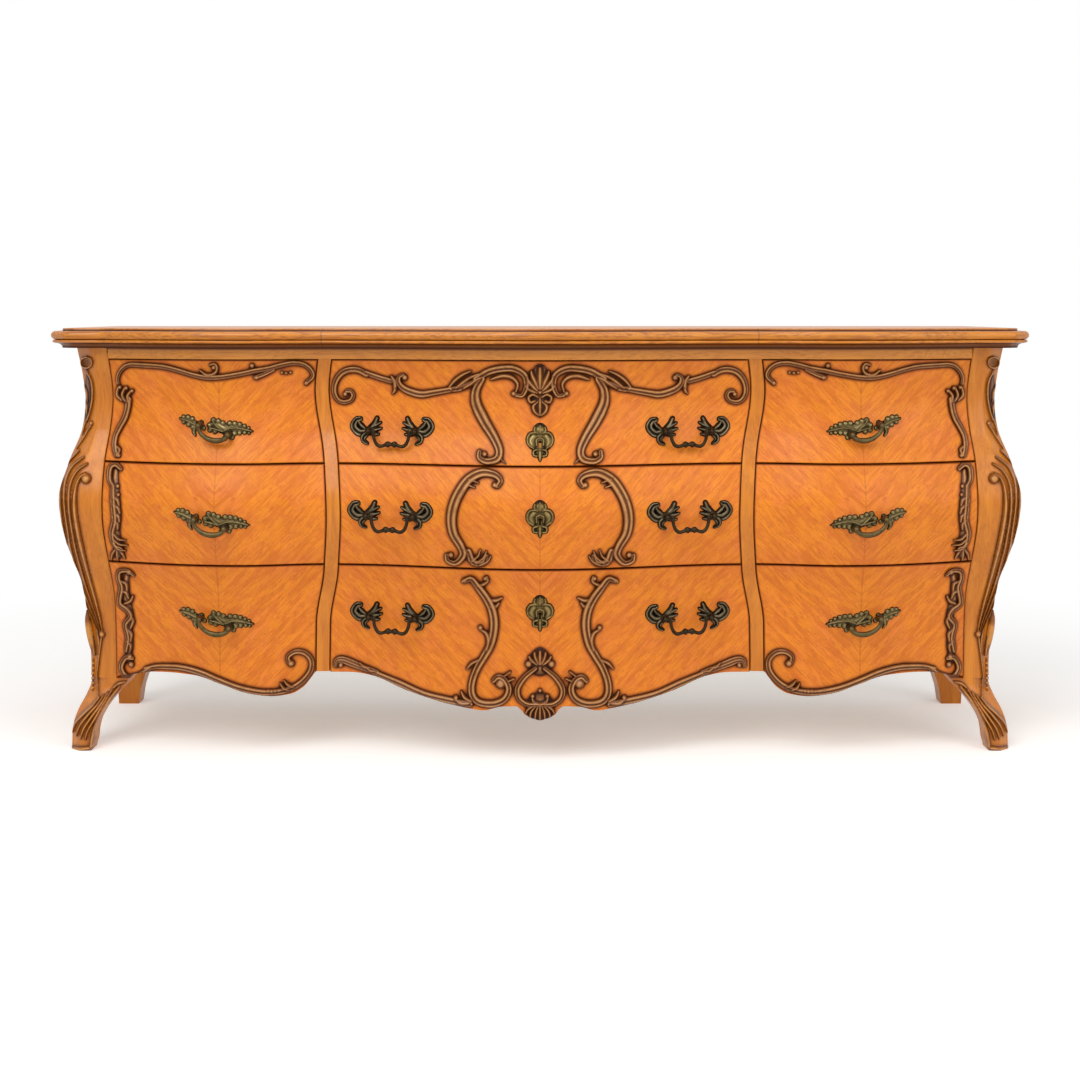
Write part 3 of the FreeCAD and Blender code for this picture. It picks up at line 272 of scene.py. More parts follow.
def thick_sheet(face, back):
    """A closed sheet: a fine grid in front, a coarser one behind, and walls between their edges."""
    rows, columns = face.shape[:2]
    faces = grid_faces(rows, columns)
    down = sorted(set(range(0, rows, BACK_STRIDE)) | {rows - 1})
    along = sorted(set(range(0, columns, BACK_STRIDE)) | {columns - 1})
    behind = rows * columns
    points = np.concatenate([face.reshape(-1, 3), back[np.ix_(down, along)].reshape(-1, 3)])
    for quad in grid_faces(len(down), len(along), behind):
        faces.append(quad[::-1])
    for row, at in ((0, 0), (rows - 1, len(down) - 1)):
        for k, (low, high) in enumerate(zip(along, along[1:])):
            edge = [row * columns + i for i in range(low, high + 1)]
            faces.append(edge + [behind + at * len(along) + k + 1, behind + at * len(along) + k])
    for column, at in ((0, 0), (columns - 1, len(along) - 1)):
        for k, (low, high) in enumerate(zip(down, down[1:])):
            edge = [i * columns + column for i in range(low, high + 1)]
            faces.append(edge + [behind + (k + 1) * len(along) + at, behind + k * len(along) + at])
    return points, faces


def eased(distance, radius):
    """How far an eased arris falls back at a distance from its edge."""
    inward = np.clip(1 - distance / radius, 0, 1)
    return radius * (1 - np.sqrt(1 - inward**2))


def spaced(length, step, radius=EDGE_EASE):
    """Places from 0 to 1 along a length, closer together where the arrises are eased."""
    near = np.array(EASE_SHARES) * radius
    count = max(2, int(round((length - 2 * radius) / step)) + 1)
    middle = np.linspace(radius, length - radius, count)[1:-1]
    return np.concatenate([near, middle, (length - near)[::-1]]) / length


def flipped(points, faces):
    """The twin of a mesh on the other side of the dresser."""
    return np.asarray(points) * (-1, 1, 1), [face[::-1] for face in faces]


def on_side(side, points, faces):
    """A mesh made for the left or the middle of the dresser, or its twin for the right."""
    return flipped(points, faces) if side == "right" else (points, faces)


def tube(path, radii, sides):
    """A round bar along a path, with a radius at each point and a flat cap at each end."""
    path, radii = np.asarray(path, float), np.asarray(radii, float)
    along = np.gradient(path, axis=0)
    along /= np.linalg.norm(along, axis=1)[:, None]
    # no bar of the dresser starts in this direction, so it gives a side to start from
    across = np.cross(along[0], (0.0, 1.0, 0.2))
    rings = []
    turns = np.linspace(0, 2 * np.pi, sides, endpoint=False)
    for place, way, radius in zip(path, along, radii):
        across = across - way * across.dot(way)
        across /= np.linalg.norm(across)
        other = np.cross(way, across)
        rings.append(place + radius * (np.cos(turns)[:, None] * across + np.sin(turns)[:, None] * other))
    points = np.concatenate(rings)
    faces = []
    for k in range(len(path) - 1):
        for i in range(sides):
            j = (i + 1) % sides
            faces.append([k * sides + i, k * sides + j, (k + 1) * sides + j, (k + 1) * sides + i])
    faces += [list(range(sides))[::-1], list(range((len(path) - 1) * sides, len(path) * sides))]
    return points, faces


def joined(meshes):
    """Several meshes as one list of points and one of faces."""
    points, faces = [], []
    start = 0
    for some, those in meshes:
        faces += [[start + i for i in face] for face in those]
        points.append(some)
        start += len(some)
    return np.concatenate(points), faces


def smooth_line(points, spacing):
    """Evenly spaced points on a smooth line through the given ones."""
    points = np.asarray(points, float)
    if len(points) > 2:
        ends = np.concatenate([[2 * points[0] - points[1]], points, [2 * points[-1] - points[-2]]])
        t = np.linspace(0, 1, CURVE_STEPS, endpoint=False)[:, None]
        runs = []
        for a, b, c, d in zip(ends, ends[1:], ends[2:], ends[3:]):
            runs.append(0.5 * (2 * b + (c - a) * t + (2 * a - 5 * b + 4 * c - d) * t**2
                               + (3 * b - a - 3 * c + d) * t**3))
        points = np.concatenate(runs + [points[-1:]])
    lengths = np.concatenate([[0], np.cumsum(np.linalg.norm(np.diff(points, axis=0), axis=1))])
    places = np.linspace(0, lengths[-1], max(3, int(lengths[-1] / spacing) + 1))
    return np.stack([np.interp(places, lengths, column) for column in points.T], axis=1)


# Relief: carving and casting raised out of a surface. Heights and reaches are in millimetres.

# Where nothing is carved the relief lies under the surface; the flanks of a stroke go down to it at a slope.
SUNK, FLANK_SLOPE = -2.0, 1.2
# A stroke is worked out this far past its edge, and places further off count as this far from it.
STROKE_SKIRT, FAR = 3.0, 9.0
# Across a stroke of two ridges, from -1 to 1: middle and reach of its high and its low rim.
HIGH_RIM, LOW_RIM = (-0.42, 0.58), (0.54, 0.44)
LOW_RIM_SHARE, BED_SHARE = 0.7, 0.4
# Powers under 1 make what is raised fuller: the rims of a stroke, the bed between them, and a plain stroke,
# whose grooves take this share of its height.
RIM_FULLNESS, BED_FULLNESS, DOME_FULLNESS, GROOVE_SHARE = 0.7, 0.5, 0.6, 0.5
# A hollow is what lies lower than the highest place within so many cells, which counts as this high at least.
HOLLOW_CELLS, LEAST_CREST = 3, 0.8
# Darkening at the foot of a relief, and the height at which it would have gone from 1 to 0: patina on
# castings, glaze with painted shade on carving.
FOOT_DARKENING, DARKENING_HEIGHT = 1.1, 2.2
# The painted shade and glaze beside the carving: how often its outline is blurred, over how many cells, its
# depth.
SHADOW_BLURS, SHADOW_CELLS, SHADOW_DEPTH = 3, 3, 1.7


def rim(side, middle, reach):
    """One rounded rim across a stroke, 1 at its middle."""
    return np.clip(1 - ((side - middle) / reach)**2, 0, 1)**RIM_FULLNESS


class Relief:
    """How far carving stands off a surface, on a fine grid in the front view, in millimetres."""

    def __init__(self, low_x, high_x, low_z, high_z, cell):
        self.cell = cell
        self.xs = np.arange(low_x, high_x + cell, cell)
        self.zs = np.arange(low_z, high_z + cell, cell)
        self.height = np.full((len(self.zs), len(self.xs)), SUNK)

    def stroke(self, points, widths, height, ridges, hand):
        """Raises one stroke along a smooth line; its width runs through the given ones.

        Two ridges are a high rim and a lower one: the high one lies left of the way along, or right of it
        where their number is negative. hand is -1 for a stroke that is drawn mirrored.
        """
        path = smooth_line(points, self.cell)
        halves = np.interp(np.linspace(0, 1, len(path)), np.linspace(0, 1, len(widths)), widths) / 2
        along = np.gradient(path, axis=0)
        along /= np.linalg.norm(along, axis=1)[:, None] + 1e-9
        gap = np.full(self.height.shape, FAR)
        side = np.zeros(self.height.shape)
        for (x, z), (to_x, to_z), half in zip(path, along, halves):
            reach = half + STROKE_SKIRT
            left, right = np.searchsorted(self.xs, (x - reach, x + reach))
            low, high = np.searchsorted(self.zs, (z - reach, z + reach))
            if left == right or low == high:
                continue
            over, up = self.xs[left:right] - x, (self.zs[low:high] - z)[:, None]
            distance = np.hypot(over, up)
            part, part_side = gap[low:high, left:right], side[low:high, left:right]
            closer = distance - half < part
            part[closer] = (distance - half)[closer]
            part_side[closer] = (np.sign(over * to_z - up * to_x) * distance / half)[closer]
        side = np.clip(side, -1, 1) * hand
        dome = np.sqrt(1 - side**2)
        if abs(ridges) == 2:
            side = side * np.sign(ridges)
            rims = np.maximum(rim(side, *HIGH_RIM), LOW_RIM_SHARE * rim(side, *LOW_RIM))
            across = np.maximum(rims, BED_SHARE * dome**BED_FULLNESS)
        else:
            grooves = np.sin(ridges * np.pi * (side + 1) / 2)**2
            across = dome**DOME_FULLNESS * (1 - GROOVE_SHARE + GROOVE_SHARE * grooves)
        raised = height * across
        flank = np.maximum(-FLANK_SLOPE * gap, SUNK)
        self.height = np.maximum(self.height, np.where(gap < 0, raised, flank))

    def bead(self, place, radius, height):
        """Raises one round bead."""
        over, up = self.xs - place[0], (self.zs - place[1])[:, None]
        distance = np.hypot(over, up)
        raised = height * np.sqrt(np.clip(1 - (distance / radius)**2, 0, 1))
        flank = np.maximum(FLANK_SLOPE * (radius - distance), SUNK)
        self.height = np.maximum(self.height, np.where(distance < radius, raised, flank))

    def hollow(self, place, radius, floor):
        """Brings the relief to a floor inside a circle."""
        distance = np.hypot(self.xs - place[0], (self.zs - place[1])[:, None])
        self.height = np.where(distance < radius, floor, self.height)

    def draw(self, strokes, surface, mirror=False):
        """Raises strokes given in pixels of the photograph, and their twins where they are mirrored."""
        for widths, height, ridges, pixels in strokes:
            places = laid_on(pixels, surface)
            for way in ((1, -1) if mirror else (1,)):
                turned = places * (way, 1)
                if len(pixels) == 1:
                    self.bead(turned[0], widths[0] * PIXEL, height)
                else:
                    self.stroke(turned, np.array(widths) * PIXEL, height, ridges, way)

    def draw_about(self, strokes, place, outward=1):
        """Raises strokes given in pixels to the side of a place and above it."""
        for widths, height, ridges, offsets in strokes:
            spots = [(place[0] + outward * over * PIXEL, place[1] + up * PIXEL) for over, up in offsets]
            if len(spots) == 1:
                self.bead(spots[0], widths[0] * PIXEL, height)
            else:
                self.stroke(spots, np.array(widths) * PIXEL, height, ridges, outward)

    def hollows(self):
        """From 0 on ridges to 1 in grooves and along edges; on carving it paints shade in the grooves and at
        the foot, with the glaze, and a highlight on the ridges.
        """
        raised = np.maximum(self.height, 0)
        top = raised
        for axis in (0, 1):
            shifts = range(-HOLLOW_CELLS, HOLLOW_CELLS + 1)
            top = np.max([np.roll(top, shift, axis) for shift in shifts], axis=0)
        fall = 1 - raised / np.maximum(top, LEAST_CREST)
        edge = np.clip(FOOT_DARKENING - raised / DARKENING_HEIGHT, 0, 1)
        return np.maximum(fall, edge)

    def shadow(self):
        """How much painted shade and dark glaze gather beside the carving, from 0 to 1."""
        covered = (self.height > 0).astype(float)
        shifts = range(-SHADOW_CELLS, SHADOW_CELLS + 1)
        for _ in range(SHADOW_BLURS):
            for axis in (0, 1):
                covered = sum(np.roll(covered, shift, axis) for shift in shifts) / len(shifts)
        return np.clip(SHADOW_DEPTH * covered, 0, 1)

    def sample(self, field, x, z):
        """A field of this grid, read between its cells at places on the surface."""
        i = np.clip((x - self.xs[0]) / self.cell, 0, len(self.xs) - 1.001)
        j = np.clip((z - self.zs[0]) / self.cell, 0, len(self.zs) - 1.001)
        left, low = i.astype(int), j.astype(int)
        across, up = i - left, j - low
        below = field[low, left] * (1 - across) + field[low, left + 1] * across
        above = field[low + 1, left] * (1 - across) + field[low + 1, left + 1] * across
        return below * (1 - up) + above * up

    def mesh(self, surface):
        """The raised part as a mesh lying on a surface, with its hollows."""
        z, x = np.meshgrid(self.zs, self.xs, indexing="ij")
        points = np.stack([x, surface(x, z) - self.height, z], axis=-1).reshape(-1, 3)
        quads = np.array(grid_faces(*self.height.shape))
        raised = self.height.ravel()
        kept = quads[(raised[quads] > 0).any(axis=1)]
        used, faces = np.unique(kept, return_inverse=True)
        return points[used], faces.reshape(-1, 4).tolist(), self.hollows().ravel()[used]


# Strokes of carving on the left half, in pixels of the photograph: widths along the stroke in pixels,
# height in millimetres, number of ridges, and points. A stroke of one point is a bead.

TOP_SIDE_CARVING = (
    ((4, 5.5, 5.5, 5.5, 5.5, 5.5, 4.5), 7, 2, ((118.4, 383.3), (118, 378), (120.3, 371.8), (125.3, 366.5),
     (132.1, 364.6), (139.8, 365), (161.2, 366.5), (176.5, 369.9), (191.8, 374.5), (207.1, 377.6),
     (219.4, 377.2), (225.9, 376.5), (241.9, 373.7), (254.6, 370.9), (269.8, 368.2), (281.7, 365),
     (293.7, 363), (304.1, 364.6), (311.2, 370.1), (312.8, 376.5), (307.3, 382.1))),
    ((3, 4.2, 3.8, 3.2), 8, 1, ((200.3, 370.3), (207.1, 374.9), (214.8, 373.4), (217.5, 368),
     (214.8, 363.8), (210.2, 365))),
    ((3, 4.4, 5), 7, 2, ((274, 370), (263, 374.8), (255.6, 377.4))), ((2.8,), 7, 1, ((252.3, 365.6),)),
    ((1.9,), 5, 1, ((282, 372.6),)), ((1.9,), 5, 1, ((286.4, 373.1),)), ((1.9,), 5, 1, ((290.8, 372.5),)),
    ((2.6,), 7, 1, ((306.4, 383.2),)), ((2.5,), 8, 1, ((257, 377.7),)), ((2.6,), 8, 1, ((214, 367.6),)),
    ((3, 5, 4), 8.5, 1, ((122.4, 400.4), (117.6, 395), (118.6, 387.6))),
    ((3, 5, 4), 9, 1, ((125.6, 401), (122.8, 395), (125, 388.4))),
    ((3, 5, 4), 8.5, 1, ((129, 402), (128, 396), (131.4, 391))), ((2.5,), 9, 1, ((120.4, 387.2),)),
    ((2.6,), 9.4, 1, ((126.6, 388),)), ((2.4,), 9, 1, ((132.6, 390.8),)),
    ((7.6, 7, 6.6, 6.2, 6), 8, 2, ((129, 399.4), (127.9, 408.6), (125.3, 417.8), (120.7, 426.2),
     (116.5, 434.6), (114.9, 443), (115.3, 449.1), (116.5, 454.5))),
    ((2.6, 4, 3), 8, 1, ((116.4, 445.4), (120, 449.6), (118, 455))), ((2.4,), 8, 1, ((119.2, 455.4),)),
)
MIDDLE_SIDE_CARVING = (
    ((4, 6, 6.5, 6, 4), 8, 2, ((121.5, 468.7), (115.8, 464.1), (110.6, 467.6), (109.6, 479),
     (113.5, 486.5))),
    ((2.4,), 6, 1, ((118, 486),)), ((2.2,), 6, 1, ((118.6, 494.6),)),
    ((5, 9, 10, 10, 10, 8, 5), 3, 1, ((116, 470), (115, 485), (116, 500), (117, 515), (116, 530),
     (117.6, 545), (119, 556))),
    ((5, 6.5, 7, 7, 6, 4), 8, 2, ((113, 486), (113.5, 506.6), (114.6, 520.4), (112, 534), (115, 545.6),
     (121.5, 548.5))),
    ((3, 5, 3), 7, 1, ((112.6, 497), (117.4, 499.6), (119.4, 505))),
    ((3, 5, 3), 7, 1, ((113, 505), (118, 507.6), (120.2, 513))),
    ((3, 5, 3), 7, 1, ((114, 513), (118.4, 516), (119.8, 521.4))),
    ((3, 4.6, 3), 7, 1, ((114, 520.4), (117.6, 523.4), (118, 529))),
    ((3, 3.6, 1.5), 8, 1, ((113, 533), (119, 539), (126.5, 540))),
    ((3, 3.6, 1.5), 8, 1, ((113, 538), (119.5, 544), (128, 545))),
    ((3, 3.6, 1.5), 8, 1, ((113.4, 543), (119, 549), (126.5, 550.5))),
    ((3, 4.5, 2), 6, 1, ((116, 549), (112.6, 554), (111.6, 560))),
    ((3, 4.5, 2), 6.5, 1, ((117.5, 549), (117.5, 555), (118.3, 560.6))),
    ((3, 4.5, 2), 6, 1, ((119, 549), (122.4, 553.5), (125.4, 558.4))),
)
BOTTOM_SIDE_CARVING = (
    ((3.5, 5, 6, 6.5, 6.2, 6, 6, 6, 5.5, 5), 8, 2, ((134, 575), (128.4, 570.7), (120, 571.4), (118.8, 579),
     (121.5, 587.7), (119.8, 602.8), (127.2, 609.7), (130.6, 616.6), (125.4, 624.5), (128, 637.2),
     (126.1, 650))),
    ((5, 9, 9, 8, 9, 9, 6), 3, 1, ((127, 574), (125.6, 588), (127, 602), (130.6, 616), (129, 630),
     (129.6, 645), (128.6, 660))),
    ((3.2,), 8, 1, ((129.4, 572),)), ((3, 5, 3), 7, 1, ((121.6, 581), (126.4, 584), (127.6, 590.6))),
    ((3, 5, 3), 7, 1, ((121.4, 591), (126.4, 592.6), (129, 598))),
    ((3, 4.6, 3), 7, 1, ((125, 603.4), (130.6, 601), (133.4, 596))),
    ((3, 5, 3), 7, 1, ((131, 615), (133.4, 621), (131, 628))),
    ((3, 5, 3), 7, 1, ((127.6, 629), (131.6, 634), (131, 641))),
    ((3, 4.4, 2.6), 7, 1, ((127.4, 641), (131, 645.4), (130.4, 651))), ((3,), 8, 1, ((130.4, 656.4),)),
    ((4, 6, 6.5, 6.5, 6, 5), 8, 2, ((133, 658), (126, 657.6), (121.5, 667.1), (127.2, 676.6), (138.7, 675),
     (150.2, 668.2))),
    ((3.4,), 9, 1, ((131.6, 664),)),
    ((5, 6.5, 7, 7, 7, 7, 6.8, 6.4, 6, 5.6, 5), 8, 2, ((146, 668.4), (156, 666.4), (166, 666.2),
     (182.3, 667.4), (200.7, 672.2), (219.1, 680), (237.4, 687), (255.8, 691.2), (269.6, 692.2),
     (287, 689.6), (300.7, 682.4), (310.4, 671), (311.6, 660.2), (305.3, 652.8), (296, 651.4),
     (288.6, 656), (289, 662))),
    ((3.7,), 9, 1, ((291.6, 663.2),)), ((2, 4.4, 2), 10, 1, ((289, 690), (283.6, 687.4), (280.6, 682.6))),
    ((2, 4.4, 2), 10, 1, ((294, 687), (288.2, 684.4), (284.6, 680))), ((2.1,), 9, 1, ((268.4, 690.6),)),
    ((2.1,), 9, 1, ((272, 690.8),)), ((2.1,), 9, 1, ((275.6, 690.4),)),
)
TOP_CENTRE_CARVING = (
    ((6, 7, 7, 6.6, 6, 5.6, 5, 4.8, 4), 8, 2, ((366.5, 374.4), (359.3, 370.4), (351.3, 369.6),
     (343.3, 372.2), (337.6, 378.1), (334.6, 386.1), (335, 394.1), (338.6, 400), (344.1, 402),
     (350.5, 400.4), (353.3, 395.7), (351.3, 391.3), (346.9, 390.9))),
    ((2.8,), 8, 1, ((345.4, 394),)), ((6, 6), 6, 2, ((366, 373), (379, 377.5), (391, 381))),
    ((3, 6, 4), 8, 1, ((391.5, 376), (394.4, 381), (395.6, 387))),
    ((3, 5, 2), 7, 1, ((394, 385), (395, 390), (392.4, 394))),
    ((3, 6, 7.6, 8, 8, 7, 6.6, 6), 8, 2, ((403.4, 374.4), (399.1, 377), (398.6, 382.1), (401.9, 386.9),
     (408.7, 390.9), (420.7, 394.1), (432.6, 392.6), (450, 389.6))),
    ((3.3,), 8, 1, ((404.9, 377.6),)),
    ((6, 7, 6.4, 5), 6, 2, ((447, 390), (460, 388), (470, 384), (479, 378.6))),
    ((3, 5, 4.4, 2.4), 8, 1, ((449.4, 387), (455, 380.4), (462.6, 374.8), (471, 371))),
    ((3, 5, 4.4, 2.4), 8.6, 1, ((456, 388), (463, 382.4), (470.6, 377.4), (480, 373.6))),
    ((3, 4.6, 4, 2), 8.6, 1, ((464, 388), (470.6, 384), (477, 379.4), (485, 376.6))),
    ((7, 8, 8, 7.6, 7, 6, 4), 8, 2, ((476, 379), (488.4, 371.8), (501.4, 368.8), (514.4, 369),
     (524.6, 375.4), (526.4, 385.9), (522.6, 395), (516.6, 395.2))),
    ((3, 5.4, 5.4, 4.4, 3), 7.4, 1, ((491, 379.4), (502, 376), (512, 377.6), (517.6, 384), (516, 391.6))),
    ((2.8,), 8.4, 1, ((513.4, 393.6),)),
    ((6, 9, 11, 12, 11.4, 10, 9, 8, 6.5, 5), 9, 2, ((482.4, 379), (476, 390.2), (476, 403.2),
     (484.1, 420.6), (494.4, 437.9), (499.4, 450.5), (496.6, 459), (486.3, 461.2), (479.4, 457.4),
     (479.4, 451.4))),
    ((3,), 9, 1, ((484.6, 453.8),)), ((4, 1.4), 6, 1, ((498, 456), (505.6, 463.6))),
)
MIDDLE_CENTRE_CARVING = (
    ((5, 7, 9, 10, 11, 11, 11, 10.6, 10, 9, 8, 6, 4.6), 9, 2, ((497.6, 486), (500.4, 480.1),
     (494.4, 474.4), (481.9, 472.6), (469.6, 478.6), (461, 489.4), (454.4, 503), (451.4, 518.1),
     (453.4, 533.2), (460.8, 546.2), (463, 554.9), (455.9, 562.8), (448, 560.6), (446.4, 555))),
    ((3.1,), 9, 1, ((451, 554.8),)), ((3,), 9, 1, ((494.6, 484.8),)),
    ((3, 2), 9, 1, ((466, 484), (475, 487.4))), ((3, 2), 9, 1, ((469, 479.4), (478.6, 482.6))),
    ((7, 8, 7, 5), 7, 2, ((468.6, 551.4), (473.2, 562), (483, 563), (486.6, 556))),
    ((3, 3.4, 2), 8, 1, ((472, 561), (478, 556), (480.4, 549.6))),
    ((3, 3.4, 2), 8, 1, ((476, 563), (483.4, 557.6), (486.4, 551))),
    ((3, 3.4, 2), 8, 1, ((480, 565), (487, 561.6), (491, 556))),
)
BOTTOM_CENTRE_CARVING = (
    ((5, 7, 8.6, 9, 9.6, 9.6, 9, 8.6, 8, 7.6, 7.6, 8, 8, 8, 7.4, 7, 6, 5), 9, 2, ((463.5, 581.4),
     (471.1, 578.8), (477.6, 586.2), (486.3, 597.9), (492.4, 610.7), (494.2, 625.9), (491, 643.2),
     (484.1, 656.3), (477.6, 667.1), (472.6, 680.1), (471.6, 691), (475, 699), (482.4, 703),
     (494.4, 703.4), (504.8, 698.4), (508.8, 688.8), (504.8, 679.4), (498.2, 676.4), (493.4, 680.4))),
    ((5.2,), 10, 1, ((500.4, 683.4),)), ((3,), 8, 1, ((464.6, 580.4),)),
    ((3, 4.6, 4, 3), 7.4, 1, ((477, 586), (483, 584.4), (487.6, 581), (487, 576.6))),
    ((2.6,), 8, 1, ((485.4, 578.4),)), ((4, 5.4, 3), 7, 1, ((489, 600), (495.6, 600.4), (502, 597.6))),
    ((3, 5, 3), 7, 1, ((490.6, 607), (495.4, 606.6), (499, 603))),
    ((3, 5, 5, 4), 7.6, 1, ((481, 629.4), (486.4, 633.4), (488.4, 641), (486.6, 650))),
    ((2.9,), 8.4, 1, ((480.4, 627.4),)), ((3, 4.6, 2), 7, 1, ((478, 660), (471.6, 663.4), (466.4, 669))),
    ((2.4, 3), 10, 1, ((504, 676), (510, 671.6))), ((2.4, 3), 9.6, 1, ((508, 681), (514, 678.4))),
    ((3, 5.6, 4), 9, 1, ((468.6, 703), (460.4, 702.4), (455, 697.6))), ((2.7,), 9.4, 1, ((456, 697),)),
    ((3, 5, 3), 9, 1, ((471, 701), (464.4, 697), (461.4, 691))),
    ((4, 8, 9, 8, 7, 6), 7, 3, ((335.4, 666), (337, 660.4), (343, 659.6), (352, 662.8), (362, 666.8),
     (377, 672))),
    ((2.8,), 8, 1, ((341, 664.8),)), ((2, 3.8, 2), 9, 1, ((360, 662.4), (364.4, 666.5), (370, 667.4))),
    ((2, 3.8, 2), 9, 1, ((366, 666), (370.4, 670), (376, 671))),
    ((6, 7.6, 7.6, 7.6, 7), 7, 2, ((373, 671.6), (386, 677.2), (401, 683.6), (424.6, 694), (452, 700.6),
     (470, 704))),
)
# Carving on the middle line of the centre drawers; the uneven strokes are drawn once more to the right.
PALMETTE_MIDDLE = (
    ((12, 20, 23, 20, 13, 5), 3.6, 1, ((540, 370), (540, 378), (540, 388), (540, 397), (540, 406),
     (540, 415))),
    ((3, 6.4, 7, 4.6), 11, 1, ((540, 389), (540, 381), (540, 374), (540, 368.4))),
    ((2.3,), 11, 1, ((540, 392.4),)), ((3, 5, 2.4), 9, 1, ((540, 398), (540, 406), (540, 415))),
)
PALMETTE_HALF = (
    ((3, 6, 6, 3.6), 10, 1, ((538.4, 389), (535, 381.6), (532.4, 376), (531.2, 371.6))),
    ((3, 5.4, 5.4, 3), 9.4, 1, ((537.6, 391), (532.4, 386), (529, 381.6), (527.2, 378))),
    ((3, 4.6, 4.4, 2.6), 8.6, 1, ((537, 393), (531.6, 391), (527.6, 388.6), (525.6, 386))),
    ((3, 4, 4.2, 3.6), 10, 1, ((538, 397), (532.8, 394.6), (528.6, 397.6), (530.4, 402.2), (534.6, 401))),
    ((3, 4.8, 4.4, 2.4), 8.4, 1, ((537.4, 402), (533.4, 406), (534.6, 411.6), (539, 415.4))),
)
CARTOUCHE_MIDDLE = (
    ((12, 20, 24), 3, 1, ((540, 653), (540, 658), (540, 664))),
    ((28, 24, 12), 3, 1, ((540, 706), (540, 712), (540, 719))),
    ((3, 5.4, 3.6), 9.4, 1, ((540, 664), (540, 657), (540, 651.4))), ((2.3,), 8, 1, ((540, 690),)),
    ((2.4, 3.8, 2.6), 9, 1, ((540, 705), (540, 712), (540, 719.4))),
)
CARTOUCHE_HALF = (
    ((2.8, 4.4, 3.4), 8.8, 1, ((538.4, 663.6), (535.4, 657.4), (534.4, 652.8))),
    ((2.8, 4.2, 3.2), 8.2, 1, ((536.8, 664.4), (531.4, 660), (529.2, 656.4))),
    ((3.8,), 9, 1, ((528.4, 663.8),)),
    ((4, 5.6, 6, 6, 5.4, 4.6), 9, 2, ((535.4, 668), (524.4, 677), (517.6, 688), (519, 698), (527, 704),
     (538.4, 704.6))),
    ((2.6, 3.4, 2.8), 7.6, 1, ((539.4, 703.4), (533.6, 701.4), (532, 696.6))),
    ((2.3,), 8, 1, ((532.6, 695.8),)),
    ((2.2, 3.4, 2.4), 8.6, 1, ((538.2, 705.4), (535.8, 712), (535, 718.8))),
    ((2.2, 3.4, 2.4), 8.2, 1, ((536, 705.4), (531.4, 711), (530, 716.8))),
    ((2.2, 3.4, 2.4), 7.8, 1, ((534, 705), (528, 709), (525.6, 713))),
)
DRAWER_CARVING = {
    ("side", "top"): TOP_SIDE_CARVING, ("side", "middle"): MIDDLE_SIDE_CARVING,
    ("side", "bottom"): BOTTOM_SIDE_CARVING, ("centre", "top"): TOP_CENTRE_CARVING,
    ("centre", "middle"): MIDDLE_CENTRE_CARVING, ("centre", "bottom"): BOTTOM_CENTRE_CARVING,
}
MIDDLE_CARVING = {
    ("centre", "top"): (PALMETTE_MIDDLE, PALMETTE_HALF),
    ("centre", "bottom"): (CARTOUCHE_MIDDLE, CARTOUCHE_HALF),
}
